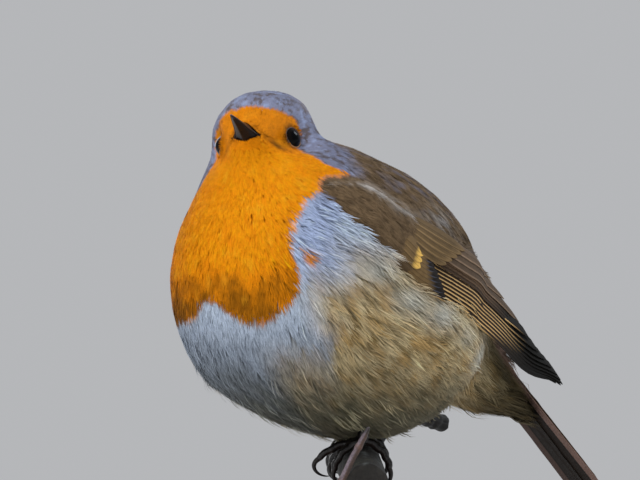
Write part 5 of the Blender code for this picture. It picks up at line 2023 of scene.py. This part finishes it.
def make_base():
    """A round base with a rounded edge and a shallow groove round its top."""
    low, high = box_of("stand_base")
    radius, height, edge = (high[0] - low[0]) / 2, high[2], 1.5
    profile = [(radius - 0.4, 0), (radius, 0.4)]
    for b in np.linspace(0, math.pi / 2, 9):
        profile.append((radius - edge + edge * math.cos(b), height - edge + edge * math.sin(b)))
    for inset, sunk in ((5.0, 0), (5.5, 0.35), (6.2, 0.35), (6.7, 0)):
        profile.append((radius - inset, height - sunk))
    profile += [(k, height) for k in (30, 20, 10, 0.5)]
    mesh = turned("stand_base_wood", profile, 192)
    place_piece("stand_base_wood", mesh, walnut_material(), ("stand_base",))


def make_rod():
    """A thin rod with a small flange where it stands on the base."""
    low, high = box_of("stand_rod")
    middle, radius = (low + high)[:2] / 2, (high[0] - low[0]) / 2
    base_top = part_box("stand_base")[1][2] / MM
    profile = [(0.2, low[2]), (radius, low[2] + 0.2), (radius, base_top), (radius + 1.6, base_top)]
    for grow, rise in ((1.8, 0.2), (1.8, 1.0), (1.4, 1.5), (0, 1.7), (0, 8), (0, 20), (0, 32)):
        profile.append((radius + grow, base_top + rise))
    profile += [(radius, high[2] - 0.3), (radius - 0.3, high[2]), (0.2, high[2])]
    mesh = turned("stand_rod_steel", profile, 64, middle, 40)
    place_piece("stand_rod_steel", mesh, steel_material(), ("stand_rod",))


make_base()
make_rod()

# ---------------------------------------------------------------- studio


def area_light(name, place, aim, size, watts, colour=(1, 1, 1)):
    """A square light at a place in metres, aimed at another."""
    data = bpy.data.lights.new(name, "AREA")
    data.shape, data.size, data.energy, data.color = "SQUARE", size, watts, colour
    obj = bpy.data.objects.new(name, data)
    bpy.context.scene.collection.objects.link(obj)
    obj.location = place
    obj.rotation_euler = (Vector(aim) - Vector(place)).to_track_quat("-Z", "Y").to_euler()


def make_studio():
    """A plain floor, four soft lights and an even grey world."""
    half = 4.0
    mesh = bpy.data.meshes.new("floor")
    corners = [(-half, -half, 0), (half, -half, 0), (half, half, 0), (-half, half, 0)]
    mesh.from_pydata(corners, [], [(0, 1, 2, 3)])
    floor = bpy.data.objects.new("floor", mesh)
    bpy.context.scene.collection.objects.link(floor)
    made, tree, shader = new_material("floor_paint")
    mottle = texture(tree, NOISE, Scale=0.02, Detail=4.0)
    tree.links.new(ramp(tree, mottle, [(0.3, 0.60), (0.7, 0.63)]), shader.inputs["Base Color"])
    preset(shader, {"Roughness": 0.7})
    mesh.materials.append(made)
    centre = (0, -0.01, 0.1)
    area_light("key", (0.35, -0.75, 1.05), centre, 0.7, 12.0)
    area_light("rear", (0.30, 0.85, 0.98), centre, 0.55, 9.0, (0.86, 0.93, 1.0))
    area_light("front", (0.25, -1.2, 0.12), centre, 0.7, 3.5)
    area_light("far_side", (-0.9, 0.2, 0.5), centre, 0.7, 2.5)
    world = bpy.data.worlds.new("studio")
    world.use_nodes = True
    background = world.node_tree.nodes["Background"]
    background.inputs["Color"].default_value = (0.62, 0.63, 0.65, 1)
    background.inputs["Strength"].default_value = 0.75
    bpy.context.scene.world = world
    bpy.context.scene.view_settings.view_transform = "Standard"


make_studio()
